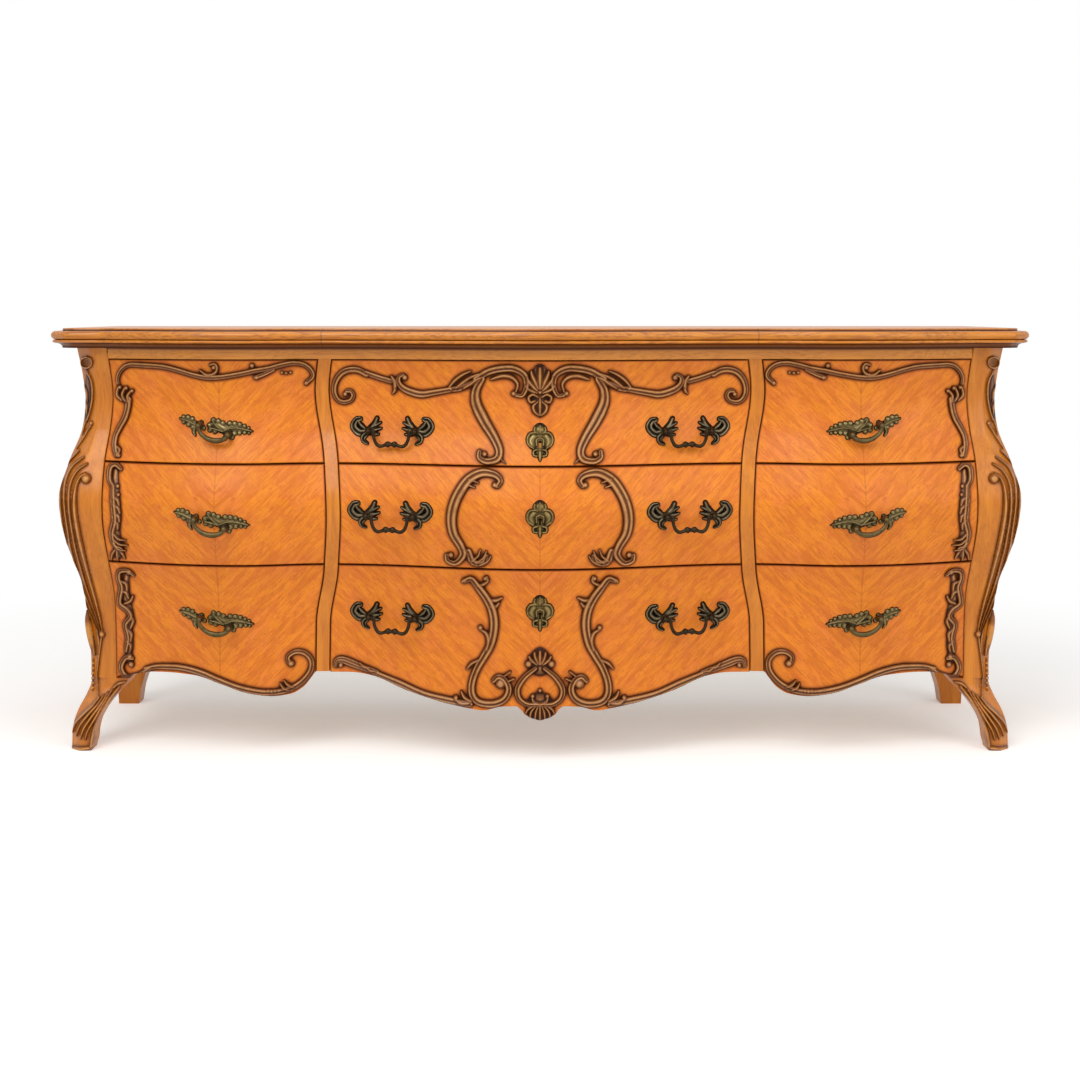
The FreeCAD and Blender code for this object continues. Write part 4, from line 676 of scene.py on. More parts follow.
POST_CARVING = (
    ((3, 3, 3), 8, 1, ((86.7, 357), (91.4, 359.2), (91.8, 365), (87, 368), (82, 365.6), (81.8, 359.6),
     (86.7, 357))),
    ((2.4,), 6, 1, ((87, 372),)),
    ((4, 9, 10, 9, 5), 1.5, 1, ((87.4, 376), (88, 388), (88, 398), (87.4, 410), (87, 420))),
    ((3, 3.6, 3.6, 3), 8, 1, ((88, 373), (92, 382), (92.8, 396), (90.4, 411), (87.6, 420))),
    ((3, 4, 2), 6, 1, ((83, 384), (86.6, 392), (87.6, 402))),
    ((3, 4, 2), 6, 1, ((83.6, 398), (86.6, 406), (87, 414))), ((2.6,), 7, 1, ((91.6, 423),)),
    ((3, 3.4, 2.4, 2), 7, 1, ((91, 426), (88, 430), (83.6, 438), (77, 448))),
    ((2, 3, 2), 6, 1, ((87.4, 419), (84.4, 426), (82.6, 434))),
    ((2, 3.4, 3.8, 3.8, 3.8, 3.7, 3.5, 3.0, 2.4, 1.4), 8, 1, ((80, 450), (66, 465.6), (61.2, 483),
     (60.6, 500), (63, 525), (68.4, 554), (76.6, 580), (85.4, 602), (93.4, 620), (98.6, 632))),
    ((2.4, 3.7, 4.2, 4, 4, 3.7, 3.4, 2.9, 2.2, 1.4), 8, 1, ((84.4, 456.6), (72.8, 466), (66, 480.6),
     (64.6, 500), (67.4, 525), (72.6, 554), (80.4, 580), (88.6, 602), (95.8, 620), (99.8, 632))),
    ((2.8, 4, 4.6, 4.3, 4.3, 4, 3.6, 3, 2.2, 1.6), 8.6, 1, ((87.4, 463.6), (77.6, 470.6), (71, 483),
     (69.2, 500), (72, 527), (77.4, 554), (84.8, 580), (92, 602), (98, 620), (101.2, 632))),
    ((3, 4.6, 6.4, 6.8, 6.8, 6.2, 5.2, 4.4, 3.2, 1.8), 9.6, 1, ((86, 473.4), (80.6, 477), (76.2, 488),
     (75, 508), (78.4, 532), (83.4, 554), (90.4, 580), (96.6, 602), (101, 620), (103, 633))),
    ((5.4,), 12, 1, ((86.6, 478.4),)),
    ((3, 5.4, 5, 3.6), 8, 1, ((85.6, 613), (88.6, 624), (92.6, 638), (95, 654))),
    ((3.6,), 9, 1, ((102.4, 634),)), ((3, 4, 2), 7, 1, ((97, 629), (99, 640), (98.4, 652))),
    ((3.4, 3, 2.6, 2.6), 7, 1, ((102, 637), (99.4, 656), (98, 678), (98.6, 697))),
    ((2.4, 3.6, 4.2, 3.8, 2.8), 7, 1, ((99.6, 697), (93, 705), (84, 713.4), (76.4, 722), (72.6, 731))),
    ((2.4, 3.6, 4.2, 3.8, 2.8), 7.4, 1, ((104, 695), (97, 705), (88, 715), (80.4, 725), (76.6, 735))),
    ((2.4, 3.6, 4.2, 3.8, 2.8), 7.4, 1, ((108.4, 692), (100.4, 705), (91.6, 717), (84.4, 728),
     (80.8, 738))),
    ((2.4, 3.6, 4, 3.4, 2.6), 7, 1, ((112.6, 689), (103.6, 704), (95.4, 718), (88.4, 730), (85.6, 739))),
    ((3, 5, 5.4, 5, 4.4), 8, 1, ((120, 686), (109.4, 700), (100.4, 716), (94, 731), (91.4, 746))),
    ((3, 5, 2), 6, 1, ((113, 688), (119, 683.4), (126, 681))),
    ((5.4, 5.6), 7, 1, ((73.4, 747.6), (90.4, 747.6))),
)
# The leaf and the beads on the outer edge of the leg: pixels of the photograph, and radius in millimetres.
LEG_LEAF = ((87.4, 610, 2.0), (87.6, 619, 5.5), (89.4, 630, 7.5), (91.8, 642, 7.0), (94.6, 655, 4.0))
LEG_BEADS = tuple((93.4 - 0.04 * step, 658 + 2.5 * step, (4.2, 2.0)[step % 2]) for step in range(17))

# One leaf cluster of a bail pull about its mount: outwards and up, in pixels.
MOUNT_CASTING = (
    ((7, 9, 8, 6), 7, 2, ((2, -1), (10, -2), (16, 4), (13.4, 10.4), (9.4, 11.6))),
    ((4, 6, 4), 7.6, 1, ((4, 2), (8.6, 5.6), (10.6, 8.6))),
    ((7, 7.4, 5.4), 7.4, 1, ((0, 1), (-5.4, 6.6), (-8, 12.6))),
    ((4, 5, 3), 7, 1, ((-3, 3.4), (-8.6, 6.4), (-12, 8.4))),
    ((7, 6, 3), 7, 1, ((0, 0), (-7, 1), (-12.6, 2.6))),
    ((5, 5, 3), 6, 1, ((-1, -2.4), (-6, -3.6), (-10, -3.4))),
    ((6, 7, 5.6, 3.4), 7, 2, ((1, -2), (5.6, -6), (5.4, -10), (1.4, -12.6))), ((4.6,), 11, 1, ((0, 0),)),
)
# The two leaves of a side pull about the middle between its mounts, the same way.
SIDE_PULL_CASTING = (
    ((2.4, 7, 9, 8, 4), 4.5, 1, ((33, 11), (26, 9.4), (19, 6.4), (13, 3.6), (8, 3))),
    ((2, 3, 2.4), 7, 1, ((32, 10.6), (24, 8.6), (15, 4.4))),
    ((6, 5.2, 2.4), 6, 1, ((16, 3), (17.4, -2), (15.4, -6))),
    ((6, 11, 12, 9, 5), 4.5, 1, ((-1, 6), (-8, 4), (-14, 1), (-17, -3), (-20, -6))),
    ((9, 11, 9, 6, 2), 4.5, 1, ((-14, 0), (-21, 1.4), (-28, 1.6), (-35, 0.4), (-43, -1.6))),
    ((2, 3.2, 2.4), 7, 1, ((-14, -1), (-26, 2), (-42, -1.2))),
    ((2, 3, 2.4), 7, 1, ((-13, -2), (-6, 4), (-2, 9))), ((2, 3, 2.4), 7, 1, ((-13, -2), (-5, 0.6), (1, 2))),
    ((4.2,), 11, 1, ((11.4, 4.6),)), ((4.2,), 11, 1, ((-18.6, -4.6),)),
) + tuple(((1.25 * radius,), 5.2, 1, (lobe,)) for radius, lobe in (
    (2.0, (29, 12.6)), (2.4, (24.4, 12.2)), (2.4, (19.6, 10.4)), (2.0, (28.6, 7.4)), (2.4, (23.4, 5.2)),
    (2.4, (18.6, 2.4)), (2.2, (10, 7)), (2.2, (7.4, 1.6)), (2.4, (-2.4, 9.6)), (2.4, (-7.6, 8.6)),
    (2.4, (-12.4, 6.6)), (2.4, (1.4, 4.4)), (2.4, (0.6, 0)), (2.4, (-4.6, -1.6)), (2.4, (-19.4, 6.4)),
    (2.4, (-24.6, 6.2)), (2.2, (-29.8, 5.4)), (1.9, (-34.6, 3.8)), (1.6, (-38.8, 1.8)), (2.4, (-24.6, -3.6)),
    (2.2, (-29.8, -3)), (1.9, (-35, -2.8)), (1.6, (-39.4, -3.2)), (2.2, (-22.6, -7.6)), (2.2, (-15, -8.4)),
))
# An escutcheon about its keyhole: its middle strokes, and the half that is mirrored.
PLATE_MIDDLE = (
    ((13, 17, 15, 9, 3), 2.8, 1, ((0, 13), (0, 6), (0, -2), (0, -10), (0, -17))),
    ((4.6,), 5.4, 1, ((0, 12.4),)), ((3, 2.4), 6.4, 1, ((0, 16.6), (0, 9))),
    ((5, 5, 1.6), 5, 1, ((0, -9), (0, -13), (0, -17.4))),
)
PLATE_HALF = (
    ((3, 4, 3), 5.6, 1, ((2.6, 8.6), (5.6, 11.6), (5, 15))),
    ((8, 9, 7), 5, 1, ((6.4, 6), (9, 2), (7.6, -3.4))),
    ((3, 3.6, 3.6, 3, 2.6), 6.6, 1, ((4, 9.6), (9.6, 9), (12.6, 4), (11.4, -2), (6.4, -5.4))),
    ((3, 3.6, 3.4, 2.6), 5.8, 1, ((2.6, -6.6), (6.4, -8), (6.2, -12), (2.8, -12.8))),
    ((2.6, 3, 2.6), 5.8, 1, ((0.6, 4.6), (3.6, 2.6), (3.4, -2.6))),
)


# Finishes

# Size of one streak of the honey wood in millimetres along x, y and z, where the grain runs upright, along
# the front, and level on the sides.
UPRIGHT_GRAIN, LEVEL_GRAIN, SIDE_GRAIN = (3.6, 3.6, 90.0), (90.0, 3.6, 3.6), (90.0, 5.0, 60.0)
# Where the leaves of veneer meet on a side drawer, and where the lengths of the top's moulding meet, in
# millimetres from the middle of the dresser.
SIDE_SEAM, MOULDING_JOINT = 645.0, 435.0


def linear(colour):
    """An sRGB colour such as #C98A3A as the linear numbers that shaders take."""
    channels = [int(colour[i:i + 2], 16) / 255 for i in (1, 3, 5)]
    return tuple(c / 12.92 if c <= 0.04045 else ((c + 0.055) / 1.055) ** 2.4 for c in channels) + (1.0,)


def add(tree, kind, values=None, links=None, **choices):
    """Adds one node with its choices, the values of its sockets and the sockets they are linked from."""
    node = tree.nodes.new(kind)
    for name, choice in choices.items():
        setattr(node, name, choice)
    for socket, value in (values or {}).items():
        node.inputs[socket].default_value = value
    for socket, source in (links or {}).items():
        tree.links.new(source, node.inputs[socket])
    return node


def blank(name):
    """An empty node material, kept by name so that it is made once."""
    if name in bpy.data.materials:
        return bpy.data.materials[name], None
    material = bpy.data.materials.new(name)
    material.use_nodes = True
    material.node_tree.nodes.clear()
    return material, material.node_tree


def streaks(tree, place, widths, detail=3.0, rough=0.55):
    """A cloudy pattern drawn out along the grain: widths are the size of one streak in mm along each axis."""
    scaled = add(tree, "ShaderNodeVectorMath", {1: tuple(1 / (width * MM) for width in widths)}, {0: place},
                 operation="MULTIPLY")
    return add(tree, "ShaderNodeTexNoise", {"Scale": 1.0, "Detail": detail, "Roughness": rough},
               {"Vector": scaled.outputs[0]}).outputs[0]


def laid_over(tree, under, over, pattern, low, high, most=1.0):
    """A stain laid over a colour where a pattern rises from low to high; most is how much it covers."""
    cover = add(tree, "ShaderNodeMapRange", {1: low, 2: high, 3: 0.0, 4: most}, {0: pattern},
                interpolation_type="SMOOTHSTEP").outputs[0]
    values, links = {7: tuple(over)}, {0: cover}
    if isinstance(under, bpy.types.NodeSocket):
        links[6] = under
    else:
        values[6] = tuple(under)
    return add(tree, "ShaderNodeMix", values, links, data_type="RGBA").outputs[2]


def carved_colour(tree, place, hollow, ridge, body):
    """Stained wood: dark glaze with painted shade lies in its hollows, and its ridges are rubbed pale with a
    painted highlight.
    """
    cloud = streaks(tree, place, (14.0, 14.0, 14.0))
    # the ridge colour is rubbed wood with a painted highlight, and the glaze colour in the hollows is glaze
    # with painted shade
    colour = laid_over(tree, ridge, body, hollow, 0.02, 0.24)
    colour = laid_over(tree, colour, linear("#6E3C14"), cloud, 0.45, 0.75, 0.5)
    return laid_over(tree, colour, settings().carving_glaze_and_shade, hollow, 0.34, 0.76, 0.95)


def soaked(tree, glaze_and_shade_amount, most=0.5):
    """The gloss under glaze and painted shade: the most where the glaze is rubbed off, hardly any where glaze
    and shade lie thick.
    """
    return add(tree, "ShaderNodeMapRange", {1: 0.2, 2: 0.9, 3: most, 4: 0.08}, {0: glaze_and_shade_amount}).outputs[0]


def end_material(tree, colour, height, depth, strength, values, links=None):
    """Ends a material: its shader with a colour and settings, and bumps that follow a pattern, in mm deep."""
    bump = add(tree, "ShaderNodeBump", {"Strength": strength, "Distance": depth * MM}, {"Height": height})
    shader = add(tree, "ShaderNodeBsdfPrincipled", values,
                 {"Base Color": colour, "Normal": bump.outputs[0], **(links or {})})
    add(tree, "ShaderNodeOutputMaterial", links={"Surface": shader.outputs[0]})


def chevron_veneer():
    """Sliced cherry veneer, book-matched and lacquered.

    The eye gets fine slanting streaks that meet in a V on the middle line of each column, slow golden and
    pink clouds, short dark flecks, brown glaze with painted shade along the edges and beside the carving, and
    a satin gloss.
    """
    material, tree = blank("lacquered_cherry_chevron_veneer")
    if tree is None:
        return material
    paints = settings()
    point = add(tree, "ShaderNodeSeparateXYZ",
                links={0: add(tree, "ShaderNodeTexCoord").outputs["Object"]})
    aside = add(tree, "ShaderNodeMath", links={0: point.outputs["X"]}, operation="ABSOLUTE").outputs[0]
    # the leaves of a side column meet at its seam, those of the centre on the middle of the dresser
    in_side_bay = add(tree, "ShaderNodeMath", {1: STILE_CENTRE * MM}, {0: aside},
                      operation="GREATER_THAN").outputs[0]
    shifted = add(tree, "ShaderNodeMath", {1: -SIDE_SEAM * MM}, {0: in_side_bay, 2: aside},
                  operation="MULTIPLY_ADD")
    off = add(tree, "ShaderNodeMath", links={0: shifted.outputs[0]}, operation="ABSOLUTE").outputs[0]
    across = add(tree, "ShaderNodeMath", links={0: off, 1: point.outputs["Z"]}, operation="SUBTRACT")
    along = add(tree, "ShaderNodeMath", links={0: off, 1: point.outputs["Z"]}, operation="ADD")
    place = add(tree, "ShaderNodeCombineXYZ",
                links={"X": across.outputs[0], "Y": along.outputs[0], "Z": in_side_bay}).outputs[0]
    # real pores are finer: streaks 4 mm apart are the finest that show at the size of the photograph
    fine = streaks(tree, place, (3.8, 62.0, 900.0), 4.0, 0.62)
    band = streaks(tree, place, (15.0, 110.0, 900.0), 3.0)
    cloud = streaks(tree, place, (80.0, 120.0, 900.0), 2.0)
    golden = streaks(tree, place, (46.0, 84.0, 700.0), 3.0)
    blotch = streaks(tree, place, (20.0, 34.0, 800.0), 3.0, 0.6)
    fleck = streaks(tree, place, (2.4, 10.0, 900.0), 1.0)
    dash = streaks(tree, place, (3.4, 30.0, 900.0), 2.0)
    colour = laid_over(tree, paints.veneer_light, paints.veneer_pink, cloud, 0.44, 0.66, 0.8)
    colour = laid_over(tree, colour, linear("#E08412"), golden, 0.48, 0.68, 0.75)
    colour = laid_over(tree, colour, paints.veneer_deep, band, 0.42, 0.68, 0.65)
    colour = laid_over(tree, colour, linear("#CE6620"), blotch, 0.46, 0.68, 0.6)
    colour = laid_over(tree, colour, paints.veneer_deep, fine, 0.46, 0.68, 0.6)
    colour = laid_over(tree, colour, linear("#A9520E"), dash, 0.54, 0.72, 0.45)
    colour = laid_over(tree, colour, linear("#8E3C08"), fleck, 0.62, 0.76, 0.45)
    # the joint where the leaves of the veneer meet shows as a thin darker line
    seam = add(tree, "ShaderNodeMapRange", {1: 0.2 * MM, 2: 2.4 * MM, 3: 1.0, 4: 0.0}, {0: off}).outputs[0]
    colour = laid_over(tree, colour, linear("#A04E10"), seam, 0.0, 1.0, 0.35)
    # the glaze mark darkens the veneer beside the carving and along its edges: brown glaze with painted shade
    glaze = add(tree, "ShaderNodeAttribute", attribute_name="glaze").outputs["Fac"]
    colour = laid_over(tree, colour, linear("#9A4A10"), glaze, 0.02, 0.5, 0.7)
    colour = laid_over(tree, colour, linear("#3C1403"), glaze, 0.30, 0.95, 0.92)
    end_material(tree, colour, fine, 0.12, 0.35,
                 {"Roughness": 0.46, "IOR": 1.46, "Coat Weight": 0.04, "Coat Roughness": 0.25},
                 {"Specular IOR Level": soaked(tree, glaze, 0.36)})
    return material


def honey_wood(name, lengths, stain=None):
    """Solid fruitwood, planed, stained honey and lacquered; lengths are the sizes of its grain along x, y, z.

    The eye gets straight soft grain, a warm satin gloss, and where it is carved the glaze and rubbed ridges
    of the carving, with painted shade in its hollows, beside it and along edges, and a painted highlight on
    its ridges.
    """
    material, tree = blank(name)
    if tree is None:
        return material
    place = add(tree, "ShaderNodeTexCoord").outputs["Object"]
    fine = streaks(tree, place, lengths, 4.0, 0.6)
    broad = streaks(tree, place, tuple(5 * length for length in lengths), 2.0)
    ground = linear(stain) if stain else settings().honey
    colour = laid_over(tree, ground, linear("#A85C0C"), fine, 0.38, 0.72, 0.6)
    colour = laid_over(tree, colour, linear("#DE8A20"), broad, 0.44, 0.72, 0.6)
    hollow = add(tree, "ShaderNodeAttribute", attribute_name="hollow").outputs["Fac"]
    carved = add(tree, "ShaderNodeAttribute", attribute_name="carved").outputs["Fac"]
    worked = carved_colour(tree, place, hollow, linear("#CC8A3C"), linear("#8E5016"))
    colour = add(tree, "ShaderNodeMix", links={0: carved, 6: colour, 7: worked}, data_type="RGBA").outputs[2]
    glaze = add(tree, "ShaderNodeAttribute", attribute_name="glaze").outputs["Fac"]
    # the glaze mark darkens the wood along its edges and beside the carving: glaze with painted shade; on the
    # frieze it is a painted shadow of the top
    colour = laid_over(tree, colour, linear("#7E400C"), glaze, 0.02, 0.45, 0.75)
    colour = laid_over(tree, colour, linear("#3A1604"), glaze, 0.30, 0.95, 0.92)
    sunk = add(tree, "ShaderNodeMath", links={0: hollow, 1: carved}, operation="MULTIPLY").outputs[0]
    glaze_and_shade_amount = add(tree, "ShaderNodeMath", links={0: sunk, 1: glaze}, operation="MAXIMUM").outputs[0]
    end_material(tree, colour, fine, 0.1, 0.35,
                 {"Roughness": 0.36, "IOR": 1.46, "Coat Weight": 0.08, "Coat Roughness": 0.18},
                 {"Specular IOR Level": soaked(tree, glaze_and_shade_amount)})
    return material


def glazed_carving_painted_shade():
    """Beech, carved, stained, glazed nearly black in the hollows and rubbed back on the ridges, with painted
    shade in the hollows and a painted highlight on the ridges.

    The eye gets pale lines along the ridges, brown flanks and a dark outline of painted shade that lifts each
    scroll.
    """
    material, tree = blank("glazed_carved_beech_painted_shade")
    if tree is None:
        return material
    place = add(tree, "ShaderNodeTexCoord").outputs["Object"]
    hollow = add(tree, "ShaderNodeAttribute", attribute_name="hollow").outputs["Fac"]
    fine = streaks(tree, place, (2.0, 2.0, 2.0))
    dull = add(tree, "ShaderNodeMapRange", {1: 0.1, 2: 0.8, 3: 0.34, 4: 0.6}, {0: hollow}).outputs[0]
    colour = carved_colour(tree, place, hollow, settings().carving_ridge, settings().carving)
    end_material(tree, colour, fine, 0.2, 0.4, {"IOR": 1.46, "Coat Weight": 0.06, "Coat Roughness": 0.2},
                 {"Roughness": dull, "Specular IOR Level": soaked(tree, hollow)})
    return material


def cast_metal(name, bright, body, patina, polish):
    """Sand-cast metal, patinated and wiped.

    The eye gets rubbed bright ridges, a dull brownish body, stains a thumb's width across, nearly black
    hollows and the fine pitting that sand leaves.
    """
    material, tree = blank(name)
    if tree is None:
        return material
    place = add(tree, "ShaderNodeTexCoord").outputs["Object"]
    hollow = add(tree, "ShaderNodeAttribute", attribute_name="hollow").outputs["Fac"]
    # sand leaves pits under 1 mm; these are drawn at 2.4 mm so that they show
    grit = streaks(tree, place, (2.4, 2.4, 2.4))
    stain = streaks(tree, place, (12.0, 12.0, 12.0), 2.0)
    colour = laid_over(tree, bright, linear(body), hollow, 0.03, 0.26)
    colour = laid_over(tree, colour, linear(patina), stain, 0.48, 0.72, 0.45)
    colour = laid_over(tree, colour, linear(patina), hollow, 0.34, 0.78)
    dull = add(tree, "ShaderNodeMapRange", {1: 0.1, 2: 0.9, 3: polish, 4: 0.62}, {0: hollow}).outputs[0]
    end_material(tree, colour, grit, 0.25, 0.4, {"Metallic": 0.9}, {"Roughness": dull})
    return material


def side_brass():
    """Antique brass of the side pulls: a greenish brown body with yellow ridges."""
    return cast_metal("cast_antique_brass", settings().brass, "#5C4E30", "#1A150B", 0.36)


def dark_bronze():
    """Dark bronze of the centre pulls: waxed nearly black, with worn grey-brown ridges."""
    return cast_metal("cast_dark_bronze", settings().bronze, "#342A1B", "#0E0A06", 0.34)


def plate_brass():
    """Stamped antique brass of the keyhole plates: warmer and cleaner than the pulls."""
    return cast_metal("stamped_antique_brass", settings().plate, "#66542E", "#1C1408", 0.36)


def top_wood():
    """Solid cherry top, planed and lacquered, with a moulded edge.

    The eye gets long grain from end to end, a glossy amber nose, painted shade with dark glaze in the quirks,
    on the cove and at the ends of the rounds of the moulding, and thin joints between its three lengths.
    """
    material, tree = blank("lacquered_cherry_top")
    if tree is None:
        return material
    place = add(tree, "ShaderNodeTexCoord").outputs["Object"]
    fine = streaks(tree, place, (140.0, 3.4, 3.4), 4.0, 0.6)
    broad = streaks(tree, place, (260.0, 16.0, 16.0), 2.0)
    colour = laid_over(tree, settings().top_wood, linear("#924C0A"), fine, 0.38, 0.66, 0.8)
    colour = laid_over(tree, colour, linear("#D4841C"), broad, 0.46, 0.72, 0.6)
    # the joints between the three lengths of moulding are drawn 1.5 mm wide on either side
    aside = add(tree, "ShaderNodeMath",
                links={0: add(tree, "ShaderNodeSeparateXYZ", links={0: place}).outputs["X"]},
                operation="ABSOLUTE").outputs[0]
    off = add(tree, "ShaderNodeMath", {1: MOULDING_JOINT * MM}, {0: aside}, operation="SUBTRACT").outputs[0]
    away = add(tree, "ShaderNodeMath", links={0: off}, operation="ABSOLUTE").outputs[0]
    near = add(tree, "ShaderNodeMapRange", {1: 0.2 * MM, 2: 1.5 * MM, 3: 0.7, 4: 0.0}, {0: away}).outputs[0]
    moulding = add(tree, "ShaderNodeAttribute", attribute_name="moulding").outputs["Fac"]
    joint = add(tree, "ShaderNodeMath", links={0: near, 1: moulding}, operation="MULTIPLY").outputs[0]
    colour = laid_over(tree, colour, linear("#3E1B07"), joint, 0.0, 1.0)
    # the glaze mark darkens the quirks, the cove and the ends of each round: painted shade with glaze
    glaze = add(tree, "ShaderNodeAttribute", attribute_name="glaze").outputs["Fac"]
    colour = laid_over(tree, colour, linear("#7A3E10"), glaze, 0.05, 0.6, 0.8)
    colour = laid_over(tree, colour, linear("#331403"), glaze, 0.5, 1.0, 0.95)
    end_material(tree, colour, fine, 0.1, 0.3, {"Roughness": 0.36, "IOR": 1.48, "Coat Roughness": 0.2},
                 {"Specular IOR Level": soaked(tree, glaze), "Coat Weight": soaked(tree, glaze, 0.12)})
    return material


def inner_wood():
    """Poplar boards, planed and left unfinished: pale, dull, with faint straight grain."""
    material, tree = blank("planed_unfinished_poplar")
    if tree is None:
        return material
    place = add(tree, "ShaderNodeTexCoord").outputs["Object"]
    fine = streaks(tree, place, (90.0, 90.0, 3.0), 4.0, 0.6)
    cloud = streaks(tree, place, (60.0, 60.0, 14.0), 2.0)
    colour = laid_over(tree, linear("#DDB988"), linear("#C79C66"), fine, 0.36, 0.70, 0.8)
    colour = laid_over(tree, colour, linear("#C9A272"), cloud, 0.5, 0.75, 0.5)
    end_material(tree, colour, fine, 0.2, 0.4, {"Roughness": 0.7, "IOR": 1.5})
    return material


# Pieces


def drawer_edges(bay, z):
    """The left and right edges of a drawer front at each level; a side bay's is the left-hand one."""
    half = STILE_WIDTH / 2 + DRAWER_GAP / 2
    if bay == "centre":
        reach = stile_x(z) - half
        return -reach, reach
    return -(post_inner_x(z) - DRAWER_GAP / 2), -(stile_x(z) + half)


# How far the carving of the bottom row reaches below its stiles, how far its fronts do, and the margin
# round the other reliefs, in millimetres.
CARVING_DROP, APRON_DROP, RELIEF_MARGIN = 104.0, 98.0, 3.0
# About how wide a front is, for the spacing of its points.
SHEET_WIDTH = {"side": POST_INNER - STILE_CENTRE - 20.0, "centre": 2 * STILE_CENTRE - 30.0}
# The two kinds of drawer front in a row, and the bays that wear them.
KIND_BAYS = {"side": SIDES, "centre": ("centre",)}
# At how many levels the edges of a relief are read, and the swell behind a front.
EDGE_LEVELS, SWELL_LEVELS = 60, 20
# Glaze with painted shade along an edge: it starts full, and fades out over about this many millimetres. It
# is weaker along the edges of fronts and side panels, and beside the carving of a post.
EDGE_GLAZE_AND_SHADE, GLAZE_AND_SHADE_FADE = 1.2, 3.0
FRONT_GLAZE_AND_SHADE, PANEL_GLAZE_AND_SHADE, POST_GLAZE_AND_SHADE = 0.75, 0.6, 0.5
# Over the edge of its front the relief may stand this high, and this much higher for each millimetre inside.
OVERHANG_HEIGHT, OVERHANG_SLOPE = 1.2, 3.0

RELIEFS = {}


def edge_glaze_and_shade(room):
    """Glaze with painted shade along an edge, from 1 on it to 0, where room is the distance from it."""
    return np.clip(EDGE_GLAZE_AND_SHADE - room / GLAZE_AND_SHADE_FADE, 0, 1)


def drawer_relief(kind, row):
    """The carving of one kind of drawer front, worked out once."""
    if (kind, row) not in RELIEFS:
        levels = np.linspace(ROW_FOOT[row] - CARVING_DROP, ROW_HEAD[row], EDGE_LEVELS)
        left, right = drawer_edges(kind, levels)
        foot = ROW_FOOT[row] - (CARVING_DROP if row == "bottom" else RELIEF_MARGIN)
        relief = Relief(left.min() - RELIEF_MARGIN, right.max() + RELIEF_MARGIN, foot,
                        ROW_HEAD[row] + RELIEF_MARGIN, settings().relief_cell / MM)
        relief.draw(DRAWER_CARVING[(kind, row)], front_y, mirror=kind == "centre")
        middle, half = MIDDLE_CARVING.get((kind, row), ((), ()))
        relief.draw(middle, front_y)
        relief.draw(half, front_y, mirror=True)
        RELIEFS[(kind, row)] = relief
    return RELIEFS[(kind, row)]


def drawer_foot(kind, row, t):
    """The lower edge of a drawer front at each share of its width, from left to right."""
    if row != "bottom":
        return np.full(t.shape, ROW_FOOT[row] + DRAWER_GAP / 2)
    if kind == "centre":
        return STILE_FOOT * follow(CENTRE_APRON_SHARES, 1 - np.abs(2 * t - 1))
    return STILE_FOOT * follow(SIDE_APRON_SHARES, 1 - t)


def drawer_sheet(kind, row):
    """One veneered drawer front: points, faces, and the painted shade with glaze beside its carving and along
    its edges.
    """
    head = ROW_HEAD[row] - DRAWER_GAP / 2
    t = spaced(SHEET_WIDTH[kind], settings().sheet_step / MM)
    foot = drawer_foot(kind, row, t)
    s = spaced(head - foot.max(), settings().sheet_step / MM)[:, None]
    z = foot + s * (head - foot)
    left, right = drawer_edges(kind, z)
    x = left + t * (right - left)
    fall = sum(eased(distance, EDGE_EASE) for distance in (x - left, right - x, z - foot, head - z))
    drop = APRON_DROP if row == "bottom" else 0
    levels = np.linspace(ROW_FOOT[row] - drop, ROW_HEAD[row], SWELL_LEVELS)
    recess = FRONT_THICKNESS - front_swell(levels).min()
    face = np.stack([x, front_y(x, z) + fall, z], axis=-1)
    back = np.stack([x, recess - POST_PLANE - plan_bow(x), z], axis=-1)
    points, faces = thick_sheet(face, back)
    relief = drawer_relief(kind, row)
    glaze = np.zeros(len(points))
    # painted shade with glaze round the carving, and along the edges beside the gaps
    beside = relief.sample(relief.shadow(), x, z)
    along_edges = edge_glaze_and_shade(np.minimum(np.minimum(x - left, right - x), head - z))
    glaze[:x.size] = np.maximum(beside, FRONT_GLAZE_AND_SHADE * along_edges).ravel()
    return points, faces, glaze


def build_fronts():
    """Nine veneered drawer fronts."""
    for row in ROWS:
        for kind, bays in KIND_BAYS.items():
            points, faces, glaze = drawer_sheet(kind, row)
            for bay in bays:
                drawer = f"{row}_{bay}_drawer"
                add_piece(f"{drawer}_veneered_front", *on_side(bay, points, faces), chevron_veneer(), drawer,
                          [f"{drawer}_front"], "front_veneer", {"glaze": glaze}, CRISP)


def trim_overhang(relief, kind, row):
    """Sinks the relief where it would hang over the edges of its drawer front."""
    z, x = np.meshgrid(relief.zs, relief.xs, indexing="ij")
    left, right = drawer_edges(kind, z)
    share = np.clip((x - left) / (right - left), 0, 1)
    foot = drawer_foot(kind, row, share)
    head = ROW_HEAD[row] - DRAWER_GAP / 2
    room = np.minimum(np.minimum(x - left, right - x), np.minimum(z - foot, head - z))
    allowed = OVERHANG_HEIGHT + OVERHANG_SLOPE * room
    relief.height = np.where(room > 0, np.minimum(relief.height, allowed), SUNK)


def build_carvings():
    """The carved scrolls, leaves and shells planted on the nine fronts."""
    for row in ROWS:
        for kind, bays in KIND_BAYS.items():
            relief = drawer_relief(kind, row)
            trim_overhang(relief, kind, row)
            points, faces, hollow = relief.mesh(front_y)
            for bay in bays:
                drawer = f"{row}_{bay}_drawer"
                add_piece(f"{drawer}_carved_scrolls", *on_side(bay, points, faces), glazed_carving_painted_shade(), drawer,
                          [f"{drawer}_carving"], "carved_wood", {"hollow": hollow})


# Points along the front of the top, one of its ends and one canted corner, and rounds that ease its corners.
RING_FRONT, RING_END, RING_CANT, RING_ROUNDS = 321, 40, 10, 3


